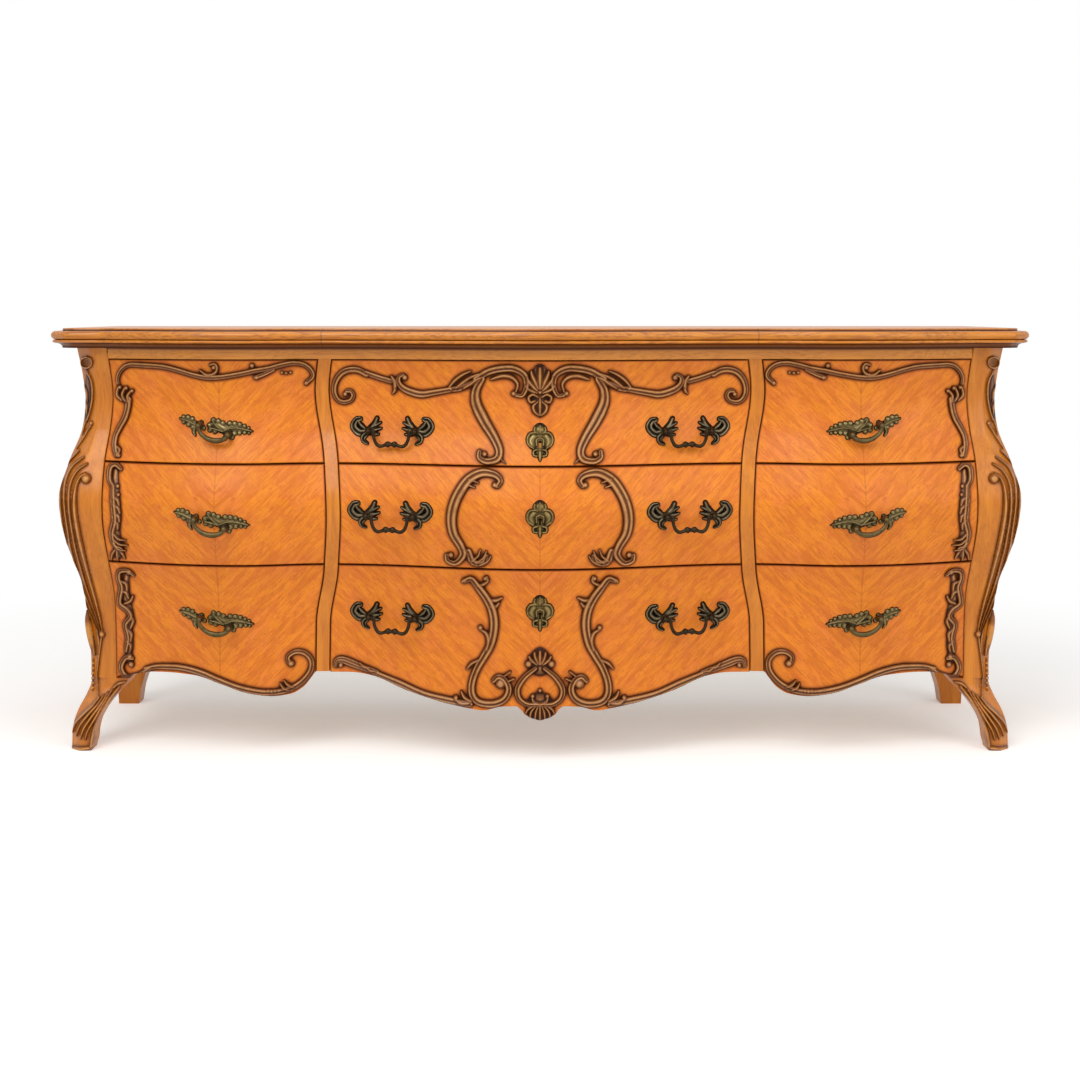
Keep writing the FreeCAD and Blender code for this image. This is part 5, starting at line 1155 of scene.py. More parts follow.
def top_ring(overhang):
    """The plan of the top at an overhang: straight ends, canted corners and a serpentine front."""
    cant = TOP_CANT_SHARE * (POST_OUTER - POST_INNER)
    corner = cant - overhang * np.tan(np.pi / 8)
    outer, front = POST_OUTER + overhang, -POST_PLANE - overhang
    reach = POST_OUTER - corner
    x = np.linspace(-reach, reach, RING_FRONT)
    serpentine = np.stack([x, front - np.maximum(0, plan_bow(x))], axis=1)
    end = np.array([-outer, front + corner + overhang])
    side = np.linspace((-outer, BACK), end, RING_END)[:-1]
    canted = np.linspace(end, serpentine[0], RING_CANT)[:-1]
    right = np.concatenate([side, canted])[::-1] * (-1, 1)
    ring = np.concatenate([side, canted, serpentine, right])
    for _ in range(RING_ROUNDS):
        ring[1:-1] = (ring[:-2] + 2 * ring[1:-1] + ring[2:]) / 4
    return ring


# The edge of the top from above: overhang, millimetres below the top, and painted shade with glaze from 0 to
# 1.
TOP_INSET = 14.0
LIP_PROFILE = (
    (-TOP_INSET, 0.0, 0.0), (LIP_OVERHANG - 1.6, 0.0, 0.0), (LIP_OVERHANG - 0.5, 0.5, 0.0),
    (LIP_OVERHANG, 1.6, 0.3), (LIP_OVERHANG, 4.8, 1.0), (LIP_OVERHANG + 0.8, 5.6, 1.0),
    (LIP_OVERHANG + 3, 5.6, 0.7),
)
COVE_PROFILE = (
    (LIP_OVERHANG + 9.5, 30.6, 0.9), (LIP_OVERHANG + 5, 32.0, 0.75), (LIP_OVERHANG + 2, 34.6, 0.7),
)
# The foot of the cove: overhang, millimetres above the case, and painted shade with glaze from 0 to 1.
FILLET_PROFILE = ((LIP_OVERHANG + 0.6, 2.4, 0.85), (LIP_OVERHANG, 0.0, 1.0), (-TOP_INSET, 0.0, 0.6))
# The large and the small round of the nose: overhang, millimetres below the top, radius, painted shade with
# glaze at its ends.
NOSE_ROUNDS = ((NOSE_OVERHANG, 14.2, 8.6, 0.5), (NOSE_OVERHANG - 3, 26.4, 3.0, 0.45))
ROUND_POINTS = 13
# Under each round lies a quirk: millimetres behind its middle, and below its foot.
QUIRK_IN, QUIRK_DOWN = 1.6, 0.5


def build_top():
    """The top with its moulded edge: a thin lip, a round nose and a fillet under it."""
    head = OVERALL_HEIGHT
    profile = [(reach, head - down, glaze_and_shade_amount) for reach, down, glaze_and_shade_amount in LIP_PROFILE]
    for reach, down, radius, glaze_and_shade_amount in NOSE_ROUNDS:
        # each round darkens towards its top and its foot as it turns away from the front: painted shade
        for turn in np.linspace(np.pi / 2, -np.pi / 2, ROUND_POINTS):
            profile.append((reach - radius + radius * np.cos(turn), head - down + radius * np.sin(turn),
                            glaze_and_shade_amount * abs(turn / np.pi * 2)**3))
        # the quirk under each round is fully dark: painted shade
        profile.append((reach - radius - QUIRK_IN, head - down - radius - QUIRK_DOWN, 1.0))
    profile += [(reach, head - down, glaze_and_shade_amount) for reach, down, glaze_and_shade_amount in COVE_PROFILE]
    profile += [(reach, CASE_TOP + up, glaze_and_shade_amount) for reach, up, glaze_and_shade_amount in FILLET_PROFILE]
    rings = [top_ring(overhang) for overhang, _, _ in profile]
    count = len(rings[0])
    points = np.concatenate([
        np.column_stack([ring, np.full(count, height)]) for ring, (_, height, _) in zip(rings, profile)
    ])
    faces = [quad[::-1] for quad in grid_faces(len(profile), count)]
    last = (len(profile) - 1) * count
    faces += [list(range(count)), list(range(last, last + count))[::-1]]
    ends = [row * count for row in range(len(profile))]
    faces += [ends[::-1] + [row * count + count - 1 for row in range(len(profile))]]
    glaze = np.repeat([mark for _, _, mark in profile], count)
    moulding = np.repeat([0.0] + [1.0] * (len(profile) - 2) + [0.0], count)
    add_piece("top_with_moulded_edge", points, faces, top_wood(), "case", ["top_board", "top_edge_moulding"],
              "top_wood", {"glaze": glaze, "moulding": moulding}, TOP_CRISP)


def leg_inner(z):
    """The inner edge of a front post, or of the leg below it."""
    return np.where(z < LEG_HEIGHT, post_outer_x(z) - leg_width(z), post_inner_x(z))


def post_face(x, z):
    """The face of a front post and of the leg below it."""
    return corner_y(x, z, leg_inner(z))


# The left post in the front view, from edge to edge, and the easing of its edges, in millimetres.
POST_SPAN, POST_EASE = (-985.0, -838.0), 2.0
# The hollow of the ring at its head: a pixel of the photograph, then its radius and floor in millimetres.
RING_MIDDLE, RING_RADIUS, RING_FLOOR = (86.7, 362.4), 6.4, 0.2
# Wood counts as carved from a little under the surface, and fully from about half a millimetre above it.
CARVED_START, CARVED_HEIGHT = 0.6, 1.2
# On the edges of a post its carving may stand this high, and this much higher for each millimetre inside.
EDGE_HEIGHT, EDGE_SLOPE = 1.0, 2.5
# How far behind the post's front facet the leaf and beads of its outer edge sit, in millimetres.
LEG_TRIM_BACK = 22.0
TRIM_SIDES, TRIM_SPACING, TRIM_HOLLOW = 10, 0.8, 0.9


def build_front_posts():
    """The two carved front posts: ring, long leaf, scroll, reeds and leafy foot."""
    step = settings().relief_cell / MM
    relief = Relief(*POST_SPAN, 0, CASE_TOP, step)
    relief.draw(POST_CARVING, post_face)
    relief.hollow(laid_on([RING_MIDDLE], post_face)[0], RING_RADIUS, RING_FLOOR)
    covered = np.clip(relief.height / CARVED_HEIGHT + CARVED_START, 0, 1)
    # painted shade with glaze beside the carving, on the plain wood only
    shade = POST_GLAZE_AND_SHADE * relief.shadow() * (1 - covered)
    fields = {"hollow": relief.hollows(), "carved": covered, "glaze": shade}
    meshes, marks = [], {mark: [] for mark in fields}
    for low, high in ((LEG_HEIGHT, CASE_TOP), (0.0, LEG_HEIGHT)):
        z = np.linspace(low, high, int((high - low) / step))[:, None]
        # the post and the leg differ in width where they meet, so each is a sheet of its own
        outer = post_outer_x(z)
        inner = outer - leg_width(z) if high == LEG_HEIGHT else post_inner_x(z)
        t = spaced(float((outer - inner).mean()), step, POST_EASE)
        x = -(outer - t * (outer - inner))
        z = np.broadcast_to(z, x.shape)
        height = np.maximum(relief.sample(relief.height, x, z), 0)
        edge = np.minimum(x + outer, -inner - x)
        height = np.minimum(height, EDGE_HEIGHT + EDGE_SLOPE * edge)
        y = corner_y(x, z, inner) - height + eased(edge, POST_EASE)
        face = np.stack([x, y, z], axis=-1)
        rear = POST_REAR if high == CASE_TOP else post_front_y(z) + leg_width(z)
        back = np.stack([x, np.broadcast_to(rear, x.shape), z], axis=-1)
        points, faces = thick_sheet(face, back)
        meshes.append((points, faces))
        for mark, field in fields.items():
            marks[mark] += list(relief.sample(field, x, z).ravel()) + [0.0] * (len(points) - x.size)
    for trim in (LEG_LEAF, LEG_BEADS):
        u, v, radii = smooth_line(trim, TRIM_SPACING).T
        spots = laid_on(np.stack([u, v], axis=1), lambda x, z: post_front_y(z) + LEG_TRIM_BACK)
        path = np.stack([spots[:, 0], post_front_y(spots[:, 1]) + LEG_TRIM_BACK, spots[:, 1]], axis=1)
        meshes.append(tube(path, radii, TRIM_SIDES))
        # the thin parts of the leaf and the necks between the beads darken: glaze with painted shade
        marks["hollow"] += list(np.repeat(TRIM_HOLLOW * (1 - radii / radii.max()), TRIM_SIDES))
        marks["carved"] += [1.0] * TRIM_SIDES * len(radii)
        marks["glaze"] += [0.0] * TRIM_SIDES * len(radii)
    points, faces = joined(meshes)
    for side in SIDES:
        add_piece(f"front_{side}_carved_post", *on_side(side, points, faces),
                  honey_wood("lacquered_honey_post", UPRIGHT_GRAIN), "case", [f"front_{side}_post"],
                  "case_veneer", marks, POST_CRISP)


# In millimetres: how far apart points lie on plain posts, and on panels and stiles, and the width that those
# of a rear post are spaced for.
POST_STEP, PANEL_STEP, REAR_POST_SPREAD = 6.0, 5.0, 60.0


def build_rear_posts():
    """The two plain rear posts with their legs."""
    meshes = []
    for low, high in ((LEG_HEIGHT, CASE_TOP), (0.0, LEG_HEIGHT)):
        z = np.linspace(low, high, int((high - low) / POST_STEP) + 1)[:, None]
        outer = post_outer_x(z)
        width = leg_width(z) if high == LEG_HEIGHT else np.full(z.shape, BACK - REAR_POST_FRONT)
        t = spaced(REAR_POST_SPREAD, POST_STEP)
        y = BACK - width + t * width
        x = -(outer - eased(y - BACK + width, EDGE_EASE) - eased(BACK - y, EDGE_EASE))
        z = np.broadcast_to(z, y.shape)
        inner = -(outer - width) if high == LEG_HEIGHT else np.full(outer.shape, -REAR_POST_INNER)
        face = np.stack([x, y, z], axis=-1)
        back = np.stack([np.broadcast_to(inner, y.shape), y, z], axis=-1)
        meshes.append(thick_sheet(face, back))
    points, faces = joined(meshes)
    for side in SIDES:
        add_piece(f"rear_{side}_plain_post", *on_side(side, points, faces),
                  honey_wood("lacquered_honey_post", UPRIGHT_GRAIN), "case", [f"rear_{side}_post"],
                  "case_veneer", crisp=CRISP)


def build_side_panels():
    """The two swelling side panels with a shallow arch in their lower edge."""
    t = spaced(REAR_POST_FRONT - POST_REAR, PANEL_STEP, THIN_EASE)
    y = POST_REAR + t * (REAR_POST_FRONT - POST_REAR)
    foot = SIDE_FOOT + SIDE_ARCH * np.sin(np.pi * t)**2
    s = spaced(CASE_TOP - SIDE_FOOT, PANEL_STEP, THIN_EASE)[:, None]
    z = foot + s * (CASE_TOP - foot)
    outer = post_outer_x(z) - SIDE_REVEAL
    y = np.broadcast_to(y, z.shape)
    face = np.stack([-(outer - eased(z - foot, THIN_EASE)), y, z], axis=-1)
    back = np.stack([-(outer - SIDE_THICKNESS), y, z], axis=-1)
    points, faces = thick_sheet(face, back)
    glaze = np.zeros(len(points))
    # the panel darkens where it meets the posts: glaze with painted shade
    glaze[:z.size] = (PANEL_GLAZE_AND_SHADE * edge_glaze_and_shade(np.minimum(y - POST_REAR, REAR_POST_FRONT - y))).ravel()
    for side in SIDES:
        add_piece(f"{side}_swelling_side", *on_side(side, points, faces),
                  honey_wood("lacquered_cherry_side", SIDE_GRAIN), "case", [f"{side}_side_panel"],
                  "case_veneer", {"glaze": glaze}, CRISP)


# In millimetres: how thick the rails are, how far they clear the posts, and how the edges of the frieze and
# the ends of the stiles are eased.
RAIL_THICKNESS, FIT_CLEARANCE, RAIL_EASE, STILE_END_EASE = 24.0, 0.3, 1.2, 1.0
# How far apart points lie along the frieze, up it, and across a stile, in millimetres.
FRIEZE_STEP, FRIEZE_RISE, STILE_STEP = 6.0, 2.5, 3.0
# Painted shadow of the top lies dark on the frieze right under it, and fades out over this many millimetres.
UNDER_TOP_SHADOW, UNDER_TOP_FADE = 0.8, 5.0


def build_rails():
    """The frieze rail under the top, and the two swept stiles between the columns of drawers."""
    reach = float(post_inner_x(np.array(FRIEZE_FOOT))) - FIT_CLEARANCE
    deepest = BELLY_SWELL * FRONT_SWELL_SHARES[0][1]
    behind = RAIL_THICKNESS - deepest - FIT_CLEARANCE
    t = spaced(2 * reach, FRIEZE_STEP, RAIL_EASE)
    s = spaced(CASE_TOP - FRIEZE_FOOT, FRIEZE_RISE, RAIL_EASE)[:, None]
    x = np.broadcast_to(-reach + t * 2 * reach, (len(s), len(t)))
    z = np.broadcast_to(FRIEZE_FOOT + s * (CASE_TOP - FRIEZE_FOOT), x.shape)
    face = np.stack([x, front_y(x, z) + eased(z - FRIEZE_FOOT, RAIL_EASE), z], axis=-1)
    back = np.stack([x, behind - POST_PLANE - plan_bow(x), z], axis=-1)
    points, faces = thick_sheet(face, back)
    glaze = np.zeros(len(points))
    # the frieze is darkened under the overhang of the top: a painted shadow
    glaze[:z.size] = np.clip(1.0 - (CASE_TOP - z) / UNDER_TOP_FADE, 0, 1).ravel() * UNDER_TOP_SHADOW
    add_piece("frieze_under_top", points, faces, honey_wood("lacquered_honey_rail", LEVEL_GRAIN, "#DA8C34"),
              "case", ["frieze_rail"], "case_veneer", {"glaze": glaze}, CRISP)

    t = spaced(STILE_WIDTH, STILE_STEP, THIN_EASE)
    s = spaced(FRIEZE_FOOT - STILE_FOOT, PANEL_STEP, STILE_END_EASE)[:, None]
    z = np.broadcast_to(STILE_FOOT + s * (FRIEZE_FOOT - STILE_FOOT), (len(s), len(t)))
    x = -stile_x(z) + (t - 0.5) * STILE_WIDTH
    fall = eased(t * STILE_WIDTH, THIN_EASE) + eased((1 - t) * STILE_WIDTH, THIN_EASE)
    face = np.stack([x, front_y(x, z) + fall, z], axis=-1)
    back = np.stack([x, behind - POST_PLANE - plan_bow(x), z], axis=-1)
    one = thick_sheet(face, back)
    add_piece("swept_stiles", *joined([one, flipped(*one)]),
              honey_wood("lacquered_honey_stile", UPRIGHT_GRAIN), "case", ["stiles"], "case_veneer",
              crisp=CRISP)


# Where the pulls and escutcheons sit, in millimetres from the middle and from the floor.
CENTRE_PULL_ENDS = (250.0, 344.0)
CENTRE_PULL_LEVEL = {"top": 654.48, "middle": 489.921, "bottom": 279.96}
SIDE_PULL_ENDS = (622.0, 682.0)
SIDE_PULL_LEVEL = {"top": 665.92, "middle": 483.425, "bottom": 277.73}
# How much lower the inner mount of a side pull sits than the outer one. Its leaves reach as far to one side
# as to the other, and lean outwards from the middle between its shafts.
SIDE_PULL_FALL, LEAF_LEAN = 18.0, 9.0
ESCUTCHEON_LEVEL = {"top": 635.76, "middle": 488.5, "bottom": 296.46}
# The bar of a side pull about the middle of its mounts: outwards, up and radius, in millimetres.
SIDE_BAR = (
    (29.6, 9.0, 4.6), (29.0, 0.0, 4.0), (23.0, -8.6, 4.3), (11.0, -16.6, 5.0), (-4.0, -20.4, 5.6),
    (-19.0, -18.6, 5.0), (-28.4, -13.0, 4.2), (-30.0, -8.0, 4.4),
)
# Half of a bail: across from its middle, up, and radius, in millimetres.
HALF_BAIL = (
    (0.0, -25.6, 3.6), (2.6, -25.6, 4.6), (5.6, -25.6, 6.4), (8.8, -26.0, 6.2), (11.6, -26.8, 4.0),
    (16.0, -28.4, 3.4), (23.0, -29.6, 3.7), (30.0, -25.0, 3.6), (34.6, -15.0, 3.3), (36.0, -5.0, 3.5),
    (36.2, 0.0, 4.2), (37.0, 3.0, 3.4),
)
# The shaft of a mount, from the front to its rounded head: millimetres behind its tip, share of its radius.
BOSS_SHAPE = (
    (BOSS_REACH, 1.25), (8.0, 0.92), (4.0, 0.98), (0.0, 1.0), (-3.0, 0.92), (-5.4, 0.62), (-6.6, 0.1),
)
SIDE_BOSS, CENTRE_BOSS = 6.0, 5.6
# Sides of the round bars, shafts, pins and the lock, and spacing of points along the bar of a side pull and
# along a bail, in millimetres.
BAR_SIDES, SHAFT_SIDES, PIN_SIDES, LOCK_SIDES = 14, 16, 12, 20
BAR_SPACING, BAIL_SPACING = 2.5, 1.6
# The pins that the bails turn on: their ends, from the middle of the bail, and their radius, in millimetres.
PIN_ENDS, PIN_RADIUS = (34.0, 50.0), 2.5
# How far a casting's relief reaches to the side of its middle and above it, in millimetres.
SIDE_PULL_FIELD, MOUNT_FIELD, PLATE_FIELD = (102.0, 34.0), (42.0, 34.0), (34.0, 42.0)
# Round bars have no hollows, so each kind has one amount of patina all over, from 0 to 1.
BAR_HOLLOW, SHAFT_HOLLOW, BAIL_HOLLOW = 0.32, 0.36, 0.34
# The circles that make up a keyhole: how far below its middle each lies, and its radius.
KEYHOLE = ((0.0, 3.2), (3.0, 1.9), (6.0, 1.9), (9.0, 1.9))
# The dark disc of the lock behind the keyhole, darkened all over as painted shade inside the keyhole:
# millimetres below its middle, radius, and its two faces.
LOCK_DROP, LOCK_RADIUS, LOCK_FACES = 4.0, 7.0, (1.0, -0.5)


def pivot(x, z):
    """The point that a boss of a pull carries at its tip."""
    return np.array([x, float(front_y(np.array(x), np.array(z))) - BOSS_REACH, z])


def boss(x, z, radius):
    """The shaft from a mount's leaf to its tip, waisted, with a rounded head."""
    path = [pivot(x, z) + (0, away, 0) for away, _ in BOSS_SHAPE]
    return tube(path, [radius * share for _, share in BOSS_SHAPE], SHAFT_SIDES)


def casting_relief(x, z, field):
    """An empty relief about the middle of a casting."""
    aside, up = field
    return Relief(x - aside, x + aside, z - up, z + up, settings().casting_cell / MM)


def add_casting(name, relief, bars, material, body, node, slot):
    """A cast mount: its leaves in relief on the front, and its shafts and bars."""
    points, faces, hollow = relief.mesh(front_y)
    marks = [hollow] + [np.full(len(spots), BAR_HOLLOW) for spots, _ in bars]
    points, faces = joined([(points, faces)] + bars)
    add_piece(name, points, faces, material, body, node, slot, {"hollow": np.concatenate(marks)})


def build_side_pulls():
    """Six cast pulls, each a leaf at either end of a looped bar."""
    near, far = SIDE_PULL_ENDS
    half_fall = SIDE_PULL_FALL / 2
    for row in ROWS:
        for side, way in zip(SIDES, (-1, 1)):
            z = SIDE_PULL_LEVEL[row] - half_fall
            middle = way * (near + far) / 2
            relief = casting_relief(middle, z, SIDE_PULL_FIELD)
            relief.draw_about(SIDE_PULL_CASTING, (middle + way * LEAF_LEAN, z), way)
            ends = pivot(way * near, z - half_fall), pivot(way * far, z + half_fall)
            path = smooth_line(SIDE_BAR, BAR_SPACING)
            share = (path[:, 0] + (far - near) / 2) / (far - near)
            y = ends[0][1] + share * (ends[1][1] - ends[0][1])
            line = np.stack([middle + way * path[:, 0], y, z + path[:, 1]], axis=1)
            bar = tube(line, path[:, 2], BAR_SIDES)
            bosses = [boss(way * near, z - half_fall, SIDE_BOSS), boss(way * far, z + half_fall, SIDE_BOSS)]
            add_casting(f"{row}_{side}_cast_leaf_pull", relief, [bar] + bosses, side_brass(),
                        f"{row}_{side}_drawer", [f"{row}_{side}_pull"], "antique_brass")


def build_centre_pulls():
    """Six swinging bails on pairs of leafy mounts."""
    near, far = CENTRE_PULL_ENDS
    for row in ROWS:
        z = CENTRE_PULL_LEVEL[row]
        mounts, marks = [], []
        for side, way in zip(SIDES, (-1, 1)):
            for x, outward in ((near, -way), (far, way)):
                relief = casting_relief(way * x, z, MOUNT_FIELD)
                relief.draw_about(MOUNT_CASTING, (way * x, z), outward)
                points, faces, hollow = relief.mesh(front_y)
                shaft = boss(way * x, z, CENTRE_BOSS)
                mounts += [(points, faces), shaft]
                marks += [hollow, np.full(len(shaft[0]), SHAFT_HOLLOW)]
            ends = pivot(way * near, z), pivot(way * far, z)
            centre, slope = (ends[0] + ends[1]) / 2, (ends[1] - ends[0]) / (far - near)
            half = smooth_line(HALF_BAIL, BAIL_SPACING)
            whole = np.concatenate([half[::-1] * (-1, 1, 1), half[1:]])
            path = centre + whole[:, :1] * slope + np.outer(whole[:, 1], (0, 0, 1))
            hoop = tube(path, whole[:, 2], BAR_SIDES)
            pins = [tube([centre + slope * end * at for at in PIN_ENDS], (PIN_RADIUS, PIN_RADIUS), PIN_SIDES)
                    for end in (-1, 1)]
            points, faces = joined([hoop] + pins)
            add_piece(f"{row}_centre_{side}_swinging_bail", points, faces, dark_bronze(),
                      f"{row}_centre_bail_{side}", [f"{row}_centre_bail_{side}"], "dark_bronze",
                      {"hollow": np.full(len(points), BAIL_HOLLOW)})
        points, faces = joined(mounts)
        add_piece(f"{row}_centre_leafy_mounts", points, faces, dark_bronze(), f"{row}_centre_drawer",
                  [f"{row}_centre_pull_mounts"], "dark_bronze", {"hollow": np.concatenate(marks)})


def build_escutcheons():
    """Three keyhole plates with a crown, two side loops and a tail."""
    for row in ROWS:
        z = ESCUTCHEON_LEVEL[row]
        relief = casting_relief(0, z, PLATE_FIELD)
        relief.draw_about(PLATE_MIDDLE, (0, z))
        for way in (1, -1):
            relief.draw_about(PLATE_HALF, (0, z), way)
        for drop, radius in KEYHOLE:
            relief.hollow((0, z - drop), radius, SUNK)
        points, faces, hollow = relief.mesh(front_y)
        y = float(front_y(np.array(0.0), np.array(z)))
        ends = [(0, y + face, z - LOCK_DROP) for face in LOCK_FACES]
        keyhole_shade_disc = tube(ends, (LOCK_RADIUS, LOCK_RADIUS), LOCK_SIDES)
        points, faces = joined([(points, faces), keyhole_shade_disc])
        # the disc takes the darkest patina all over: painted shade seen through the keyhole
        marks = np.concatenate([hollow, np.ones(len(keyhole_shade_disc[0]))])
        add_piece(f"{row}_centre_keyhole_plate", points, faces, plate_brass(), f"{row}_centre_drawer",
                  [f"{row}_centre_escutcheon"], "escutcheon_brass", {"hollow": marks})


INNER_NODES = ("partitions", "dust_boards", "bottom_board", "drawer_guides", "back_panel")


def finish_inner_boards():
    """Gives the hidden boards and the drawers' boxes their planed wood."""
    names = INNER_NODES + tuple(f"{row}_{bay}_drawer_box" for row in ROWS for bay in BAYS)
    for name in names:
        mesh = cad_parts[name].data
        mesh.materials.clear()
        mesh.materials.append(inner_wood())


# The stage, in metres: the strength of the world's light, what the floor adds to be as pale as in the
# photograph, how far the floor reaches, where it starts and ends to be lost in the white background, and the
# camera's sensor in millimetres.
AMBIENT = 0.44
FLOOR_LIFT = 0.3
FLOOR_REACH = 30.0
FLOOR_FADE = (1.1, 2.4)
SENSOR = 36.0
# Each lamp's name, place, aim, width in metres and power in watts.
LAMPS = (
    ("soft_key", (-1.5, -3.0, 3.2), (0.0, -0.2, 0.5), 2.6, 84.0),
    ("soft_fill", (2.8, -2.9, 1.9), (0.0, 0.0, 0.45), 2.6, 42.0),
    ("overhead", (0.2, -0.9, 3.2), (0.0, 0.0, 0.4), 2.6, 30.0),
)


def background_rays(tree):
    """1 for the rays that show the background: to the camera, mirrored or through glass."""
    path = add(tree, "ShaderNodeLightPath")
    seen = add(tree, "ShaderNodeMath", operation="MAXIMUM",
               links={0: path.outputs["Is Camera Ray"], 1: path.outputs["Is Glossy Ray"]}).outputs[0]
    return add(tree, "ShaderNodeMath", links={0: seen, 1: path.outputs["Is Transmission Ray"]},
               operation="MAXIMUM").outputs[0]


def build_stage():
    """A pale floor, soft light from above and both sides, and the photograph's camera."""
    scene = bpy.context.scene
    scene.view_settings.view_transform = "Standard"
    world = bpy.data.worlds.new("pale_studio")
    world.use_nodes = True
    world.node_tree.nodes.clear()
    soft = add(world.node_tree, "ShaderNodeBackground", {"Color": linear("#FFFDFA"), "Strength": AMBIENT})
    white = add(world.node_tree, "ShaderNodeBackground", {"Color": (1, 1, 1, 1), "Strength": 1.0})
    both = add(world.node_tree, "ShaderNodeMixShader",
               links={0: background_rays(world.node_tree), 1: soft.outputs[0], 2: white.outputs[0]})
    add(world.node_tree, "ShaderNodeOutputWorld", links={"Surface": both.outputs[0]})
    scene.world = world

    mesh = bpy.data.meshes.new("pale_floor")
    corners = [(x * FLOOR_REACH, y * FLOOR_REACH, 0) for x, y in ((-1, -1), (1, -1), (1, 1), (-1, 1))]
    mesh.from_pydata(corners, [], [(0, 1, 2, 3)])
    floor = bpy.data.objects.new("pale_floor", mesh)
    scene.collection.objects.link(floor)
    material, tree = blank("pale_paper_floor")
    # matt white paper that keeps the dresser's soft shadow, and is lost in the white background further off
    paper = add(tree, "ShaderNodeBsdfDiffuse", {"Color": linear("#F2F2F1")})
    rays = background_rays(tree)
    lift = add(tree, "ShaderNodeMath", {1: FLOOR_LIFT}, {0: rays}, operation="MULTIPLY").outputs[0]
    glow = add(tree, "ShaderNodeEmission", {"Color": (1, 1, 1, 1)}, {"Strength": lift})
    near = add(tree, "ShaderNodeAddShader", links={0: paper.outputs[0], 1: glow.outputs[0]})
    off = add(tree, "ShaderNodeVectorMath", links={0: add(tree, "ShaderNodeNewGeometry").outputs["Position"]},
              operation="LENGTH").outputs["Value"]
    far = add(tree, "ShaderNodeMapRange", dict(zip((1, 2), FLOOR_FADE)), {0: off},
              interpolation_type="SMOOTHSTEP").outputs[0]
    white = add(tree, "ShaderNodeEmission", {"Color": (1, 1, 1, 1), "Strength": 1.0})
    lost = add(tree, "ShaderNodeMath", links={0: far, 1: rays}, operation="MULTIPLY").outputs[0]
    whole = add(tree, "ShaderNodeMixShader", links={0: lost, 1: near.outputs[0], 2: white.outputs[0]})
    add(tree, "ShaderNodeOutputMaterial", links={"Surface": whole.outputs[0]})
    mesh.materials.append(material)

    for name, place, aim, width, power in LAMPS:
        lamp = bpy.data.lights.new(name, "AREA")
        lamp.size, lamp.energy = width, power
        light = bpy.data.objects.new(name, lamp)
        light.location = place
        light.rotation_euler = (Vector(aim) - Vector(place)).to_track_quat("-Z", "Y").to_euler()
        scene.collection.objects.link(light)

    camera_data = bpy.data.cameras.new("photo_camera")
    camera_data.sensor_width = SENSOR
    camera_data.lens = SENSOR * PHOTO_FOCAL / PHOTO_SIZE
    camera_data.shift_y = (PHOTO_HORIZON - PHOTO_SIZE / 2) / PHOTO_SIZE
    camera_data.clip_end = 100.0
    camera = bpy.data.objects.new("photo_camera", camera_data)
    camera.location = (0, -CAMERA_BACK * MM, CAMERA_HEIGHT * MM)
    camera.rotation_euler = (np.pi / 2, 0, 0)
    scene.collection.objects.link(camera)
    scene.camera = camera


# The add-on


def size_property(name, description, default, low, high):
    """A length that a user may change, given here in millimetres."""
    return FloatProperty(name=name, description=description, default=default * MM, min=low * MM,
                         max=high * MM, subtype="DISTANCE", unit="LENGTH", precision=5)


def colour_property(name, description, colour):
    """A colour that a user may change, given here as sRGB."""
    return FloatVectorProperty(name=name, description=description, default=linear(colour), size=4,
                               min=0, max=1, subtype="COLOR")


class DresserSettings(bpy.types.PropertyGroup):
    """Sizes and colours of the dresser that a user may change before it is built."""

    relief_cell: size_property("Carving detail", "Size of one facet of the carving", 1.15, 0.6, 4.0)
    casting_cell: size_property("Casting detail", "Size of one facet of the cast leaves", 0.9, 0.5, 3.0)
    sheet_step: size_property("Veneer detail", "Size of one facet of a drawer front", 2.6, 2.0, 12.0)
    veneer_light: colour_property("Light veneer", "Ground of the drawer fronts", "#E6861E")
    veneer_pink: colour_property("Pink veneer", "Pinkish clouds of the drawer fronts", "#E07C30")
    veneer_deep: colour_property("Deep veneer", "Deep streaks of the drawer fronts", "#C8660F")
    honey: colour_property("Posts and rails", "Plain wood of the posts, stiles, rails and sides", "#C87410")
    top_wood: colour_property("Top", "Top and its moulding", "#C87A16")
    carving: colour_property("Carving", "Carved wood between ridge and hollow", "#7A4618")
    # the ridge colour of the carving carries a painted highlight, and its glaze colour painted shade in the
    # hollows
    carving_ridge: colour_property("Carved ridges", "Where the glaze is rubbed off the carving", "#B8824A")
    carving_glaze_and_shade: colour_property("Glaze", "Glaze left in the hollows of the carving", "#2A0F03")
    brass: colour_property("Side pulls", "Rubbed ridges of the side pulls", "#80714A")
    bronze: colour_property("Centre pulls", "Rubbed ridges of the centre pulls", "#6A5E48")
    plate: colour_property("Keyhole plates", "Rubbed ridges of the keyhole plates", "#8A764A")


class DRESSER_OT_top(bpy.types.Operator):
    """Build the top with its moulded edge"""

    bl_idname = "dresser.top"
    bl_label = "Top"

    def execute(self, context):
        build_top()
        return {"FINISHED"}


class DRESSER_OT_front_posts(bpy.types.Operator):
    """Build the two carved front posts"""

    bl_idname = "dresser.front_posts"
    bl_label = "Front posts"

    def execute(self, context):
        build_front_posts()
        return {"FINISHED"}


class DRESSER_OT_rear_posts(bpy.types.Operator):
    """Build the two plain rear posts"""

    bl_idname = "dresser.rear_posts"
    bl_label = "Rear posts"

    def execute(self, context):
        build_rear_posts()
        return {"FINISHED"}


class DRESSER_OT_side_panels(bpy.types.Operator):
    """Build the two swelling side panels"""

    bl_idname = "dresser.side_panels"
    bl_label = "Side panels"

    def execute(self, context):
        build_side_panels()
        return {"FINISHED"}


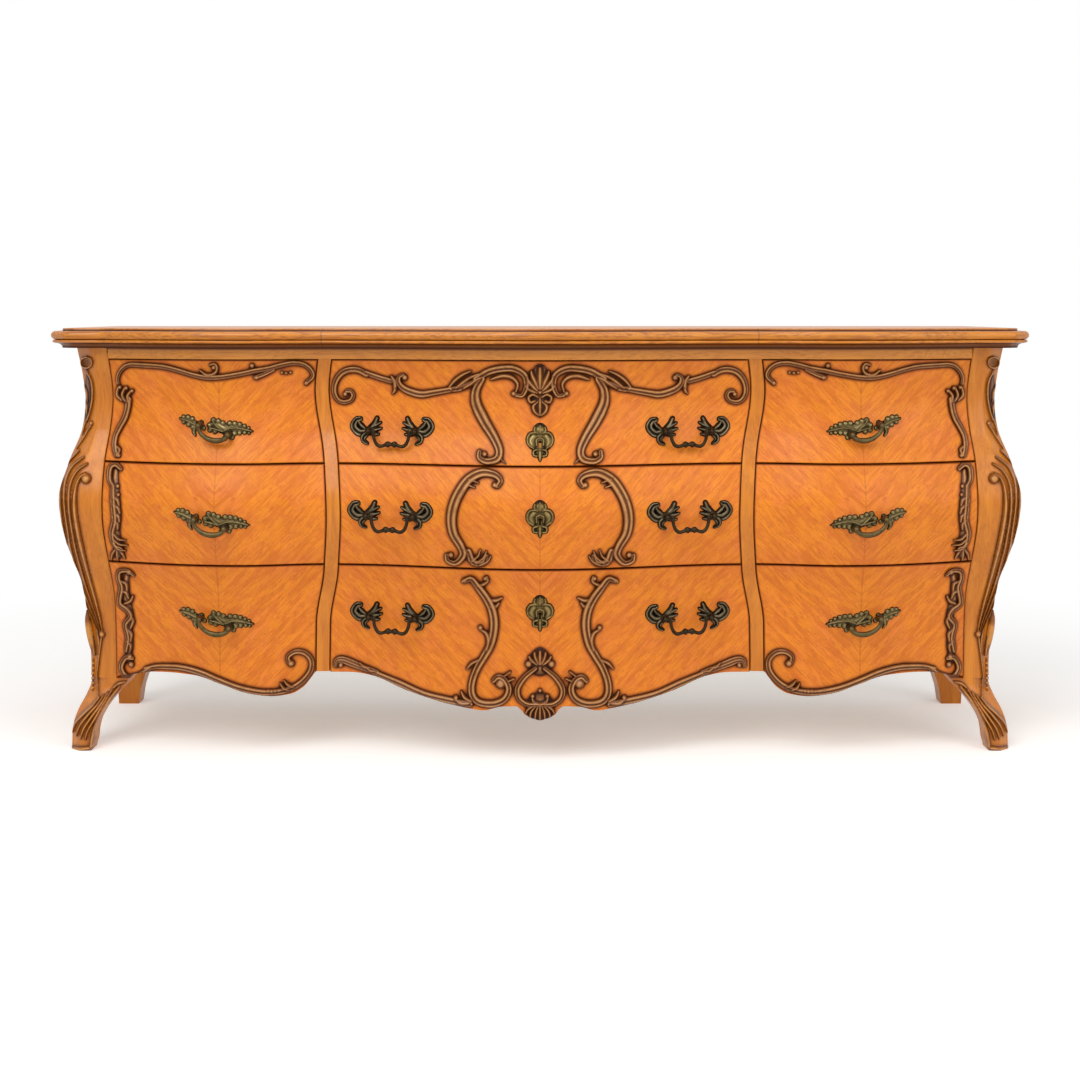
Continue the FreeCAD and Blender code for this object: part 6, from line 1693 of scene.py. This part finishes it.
class DRESSER_OT_rails(bpy.types.Operator):
    """Build the frieze rail and the two stiles"""

    bl_idname = "dresser.rails"
    bl_label = "Frieze and stiles"

    def execute(self, context):
        build_rails()
        return {"FINISHED"}


class DRESSER_OT_fronts(bpy.types.Operator):
    """Build the nine veneered drawer fronts"""

    bl_idname = "dresser.fronts"
    bl_label = "Drawer fronts"

    def execute(self, context):
        build_fronts()
        return {"FINISHED"}


class DRESSER_OT_carvings(bpy.types.Operator):
    """Build the carving on the nine drawer fronts"""

    bl_idname = "dresser.carvings"
    bl_label = "Carving"

    def execute(self, context):
        build_carvings()
        return {"FINISHED"}


class DRESSER_OT_side_pulls(bpy.types.Operator):
    """Build the six cast pulls of the side drawers"""

    bl_idname = "dresser.side_pulls"
    bl_label = "Side pulls"

    def execute(self, context):
        build_side_pulls()
        return {"FINISHED"}


class DRESSER_OT_centre_pulls(bpy.types.Operator):
    """Build the six swinging bails of the centre drawers and their mounts"""

    bl_idname = "dresser.centre_pulls"
    bl_label = "Centre pulls"

    def execute(self, context):
        build_centre_pulls()
        return {"FINISHED"}


class DRESSER_OT_escutcheons(bpy.types.Operator):
    """Build the three keyhole plates"""

    bl_idname = "dresser.escutcheons"
    bl_label = "Keyhole plates"

    def execute(self, context):
        build_escutcheons()
        return {"FINISHED"}


class DRESSER_OT_inner_boards(bpy.types.Operator):
    """Finish the hidden boards and the drawers' boxes in plain wood"""

    bl_idname = "dresser.inner_boards"
    bl_label = "Inner boards"

    def execute(self, context):
        finish_inner_boards()
        return {"FINISHED"}


class DRESSER_OT_stage(bpy.types.Operator):
    """Set out the floor, the light and the camera"""

    bl_idname = "dresser.stage"
    bl_label = "Floor, light and camera"

    def execute(self, context):
        build_stage()
        return {"FINISHED"}


OPERATORS = (
    DRESSER_OT_top, DRESSER_OT_front_posts, DRESSER_OT_rear_posts, DRESSER_OT_side_panels, DRESSER_OT_rails,
    DRESSER_OT_fronts, DRESSER_OT_carvings, DRESSER_OT_side_pulls, DRESSER_OT_centre_pulls,
    DRESSER_OT_escutcheons, DRESSER_OT_inner_boards, DRESSER_OT_stage,
)


class DRESSER_PT_sidebar(bpy.types.Panel):
    """The dresser's sizes, colours and building steps"""

    bl_idname = "DRESSER_PT_sidebar"
    bl_label = "Dresser"
    bl_space_type = "VIEW_3D"
    bl_region_type = "UI"
    bl_category = "Dresser"

    def draw(self, context):
        for name in DresserSettings.__annotations__:
            self.layout.prop(context.scene.dresser, name)
        for operator in OPERATORS:
            self.layout.operator(operator.bl_idname)


CLASSES = (DresserSettings,) + OPERATORS + (DRESSER_PT_sidebar,)


def register():
    """Adds the settings, the operators and the panel."""
    for one in CLASSES:
        bpy.utils.register_class(one)
    bpy.types.Scene.dresser = PointerProperty(type=DresserSettings)


def unregister():
    """Takes away what register added."""
    del bpy.types.Scene.dresser
    for one in reversed(CLASSES):
        bpy.utils.unregister_class(one)


def main():
    """Builds the dresser piece by piece."""
    register()
    for operator in OPERATORS:
        group, action = operator.bl_idname.split(".")
        getattr(getattr(bpy.ops, group), action)()


if __name__ == "__main__":
    main()
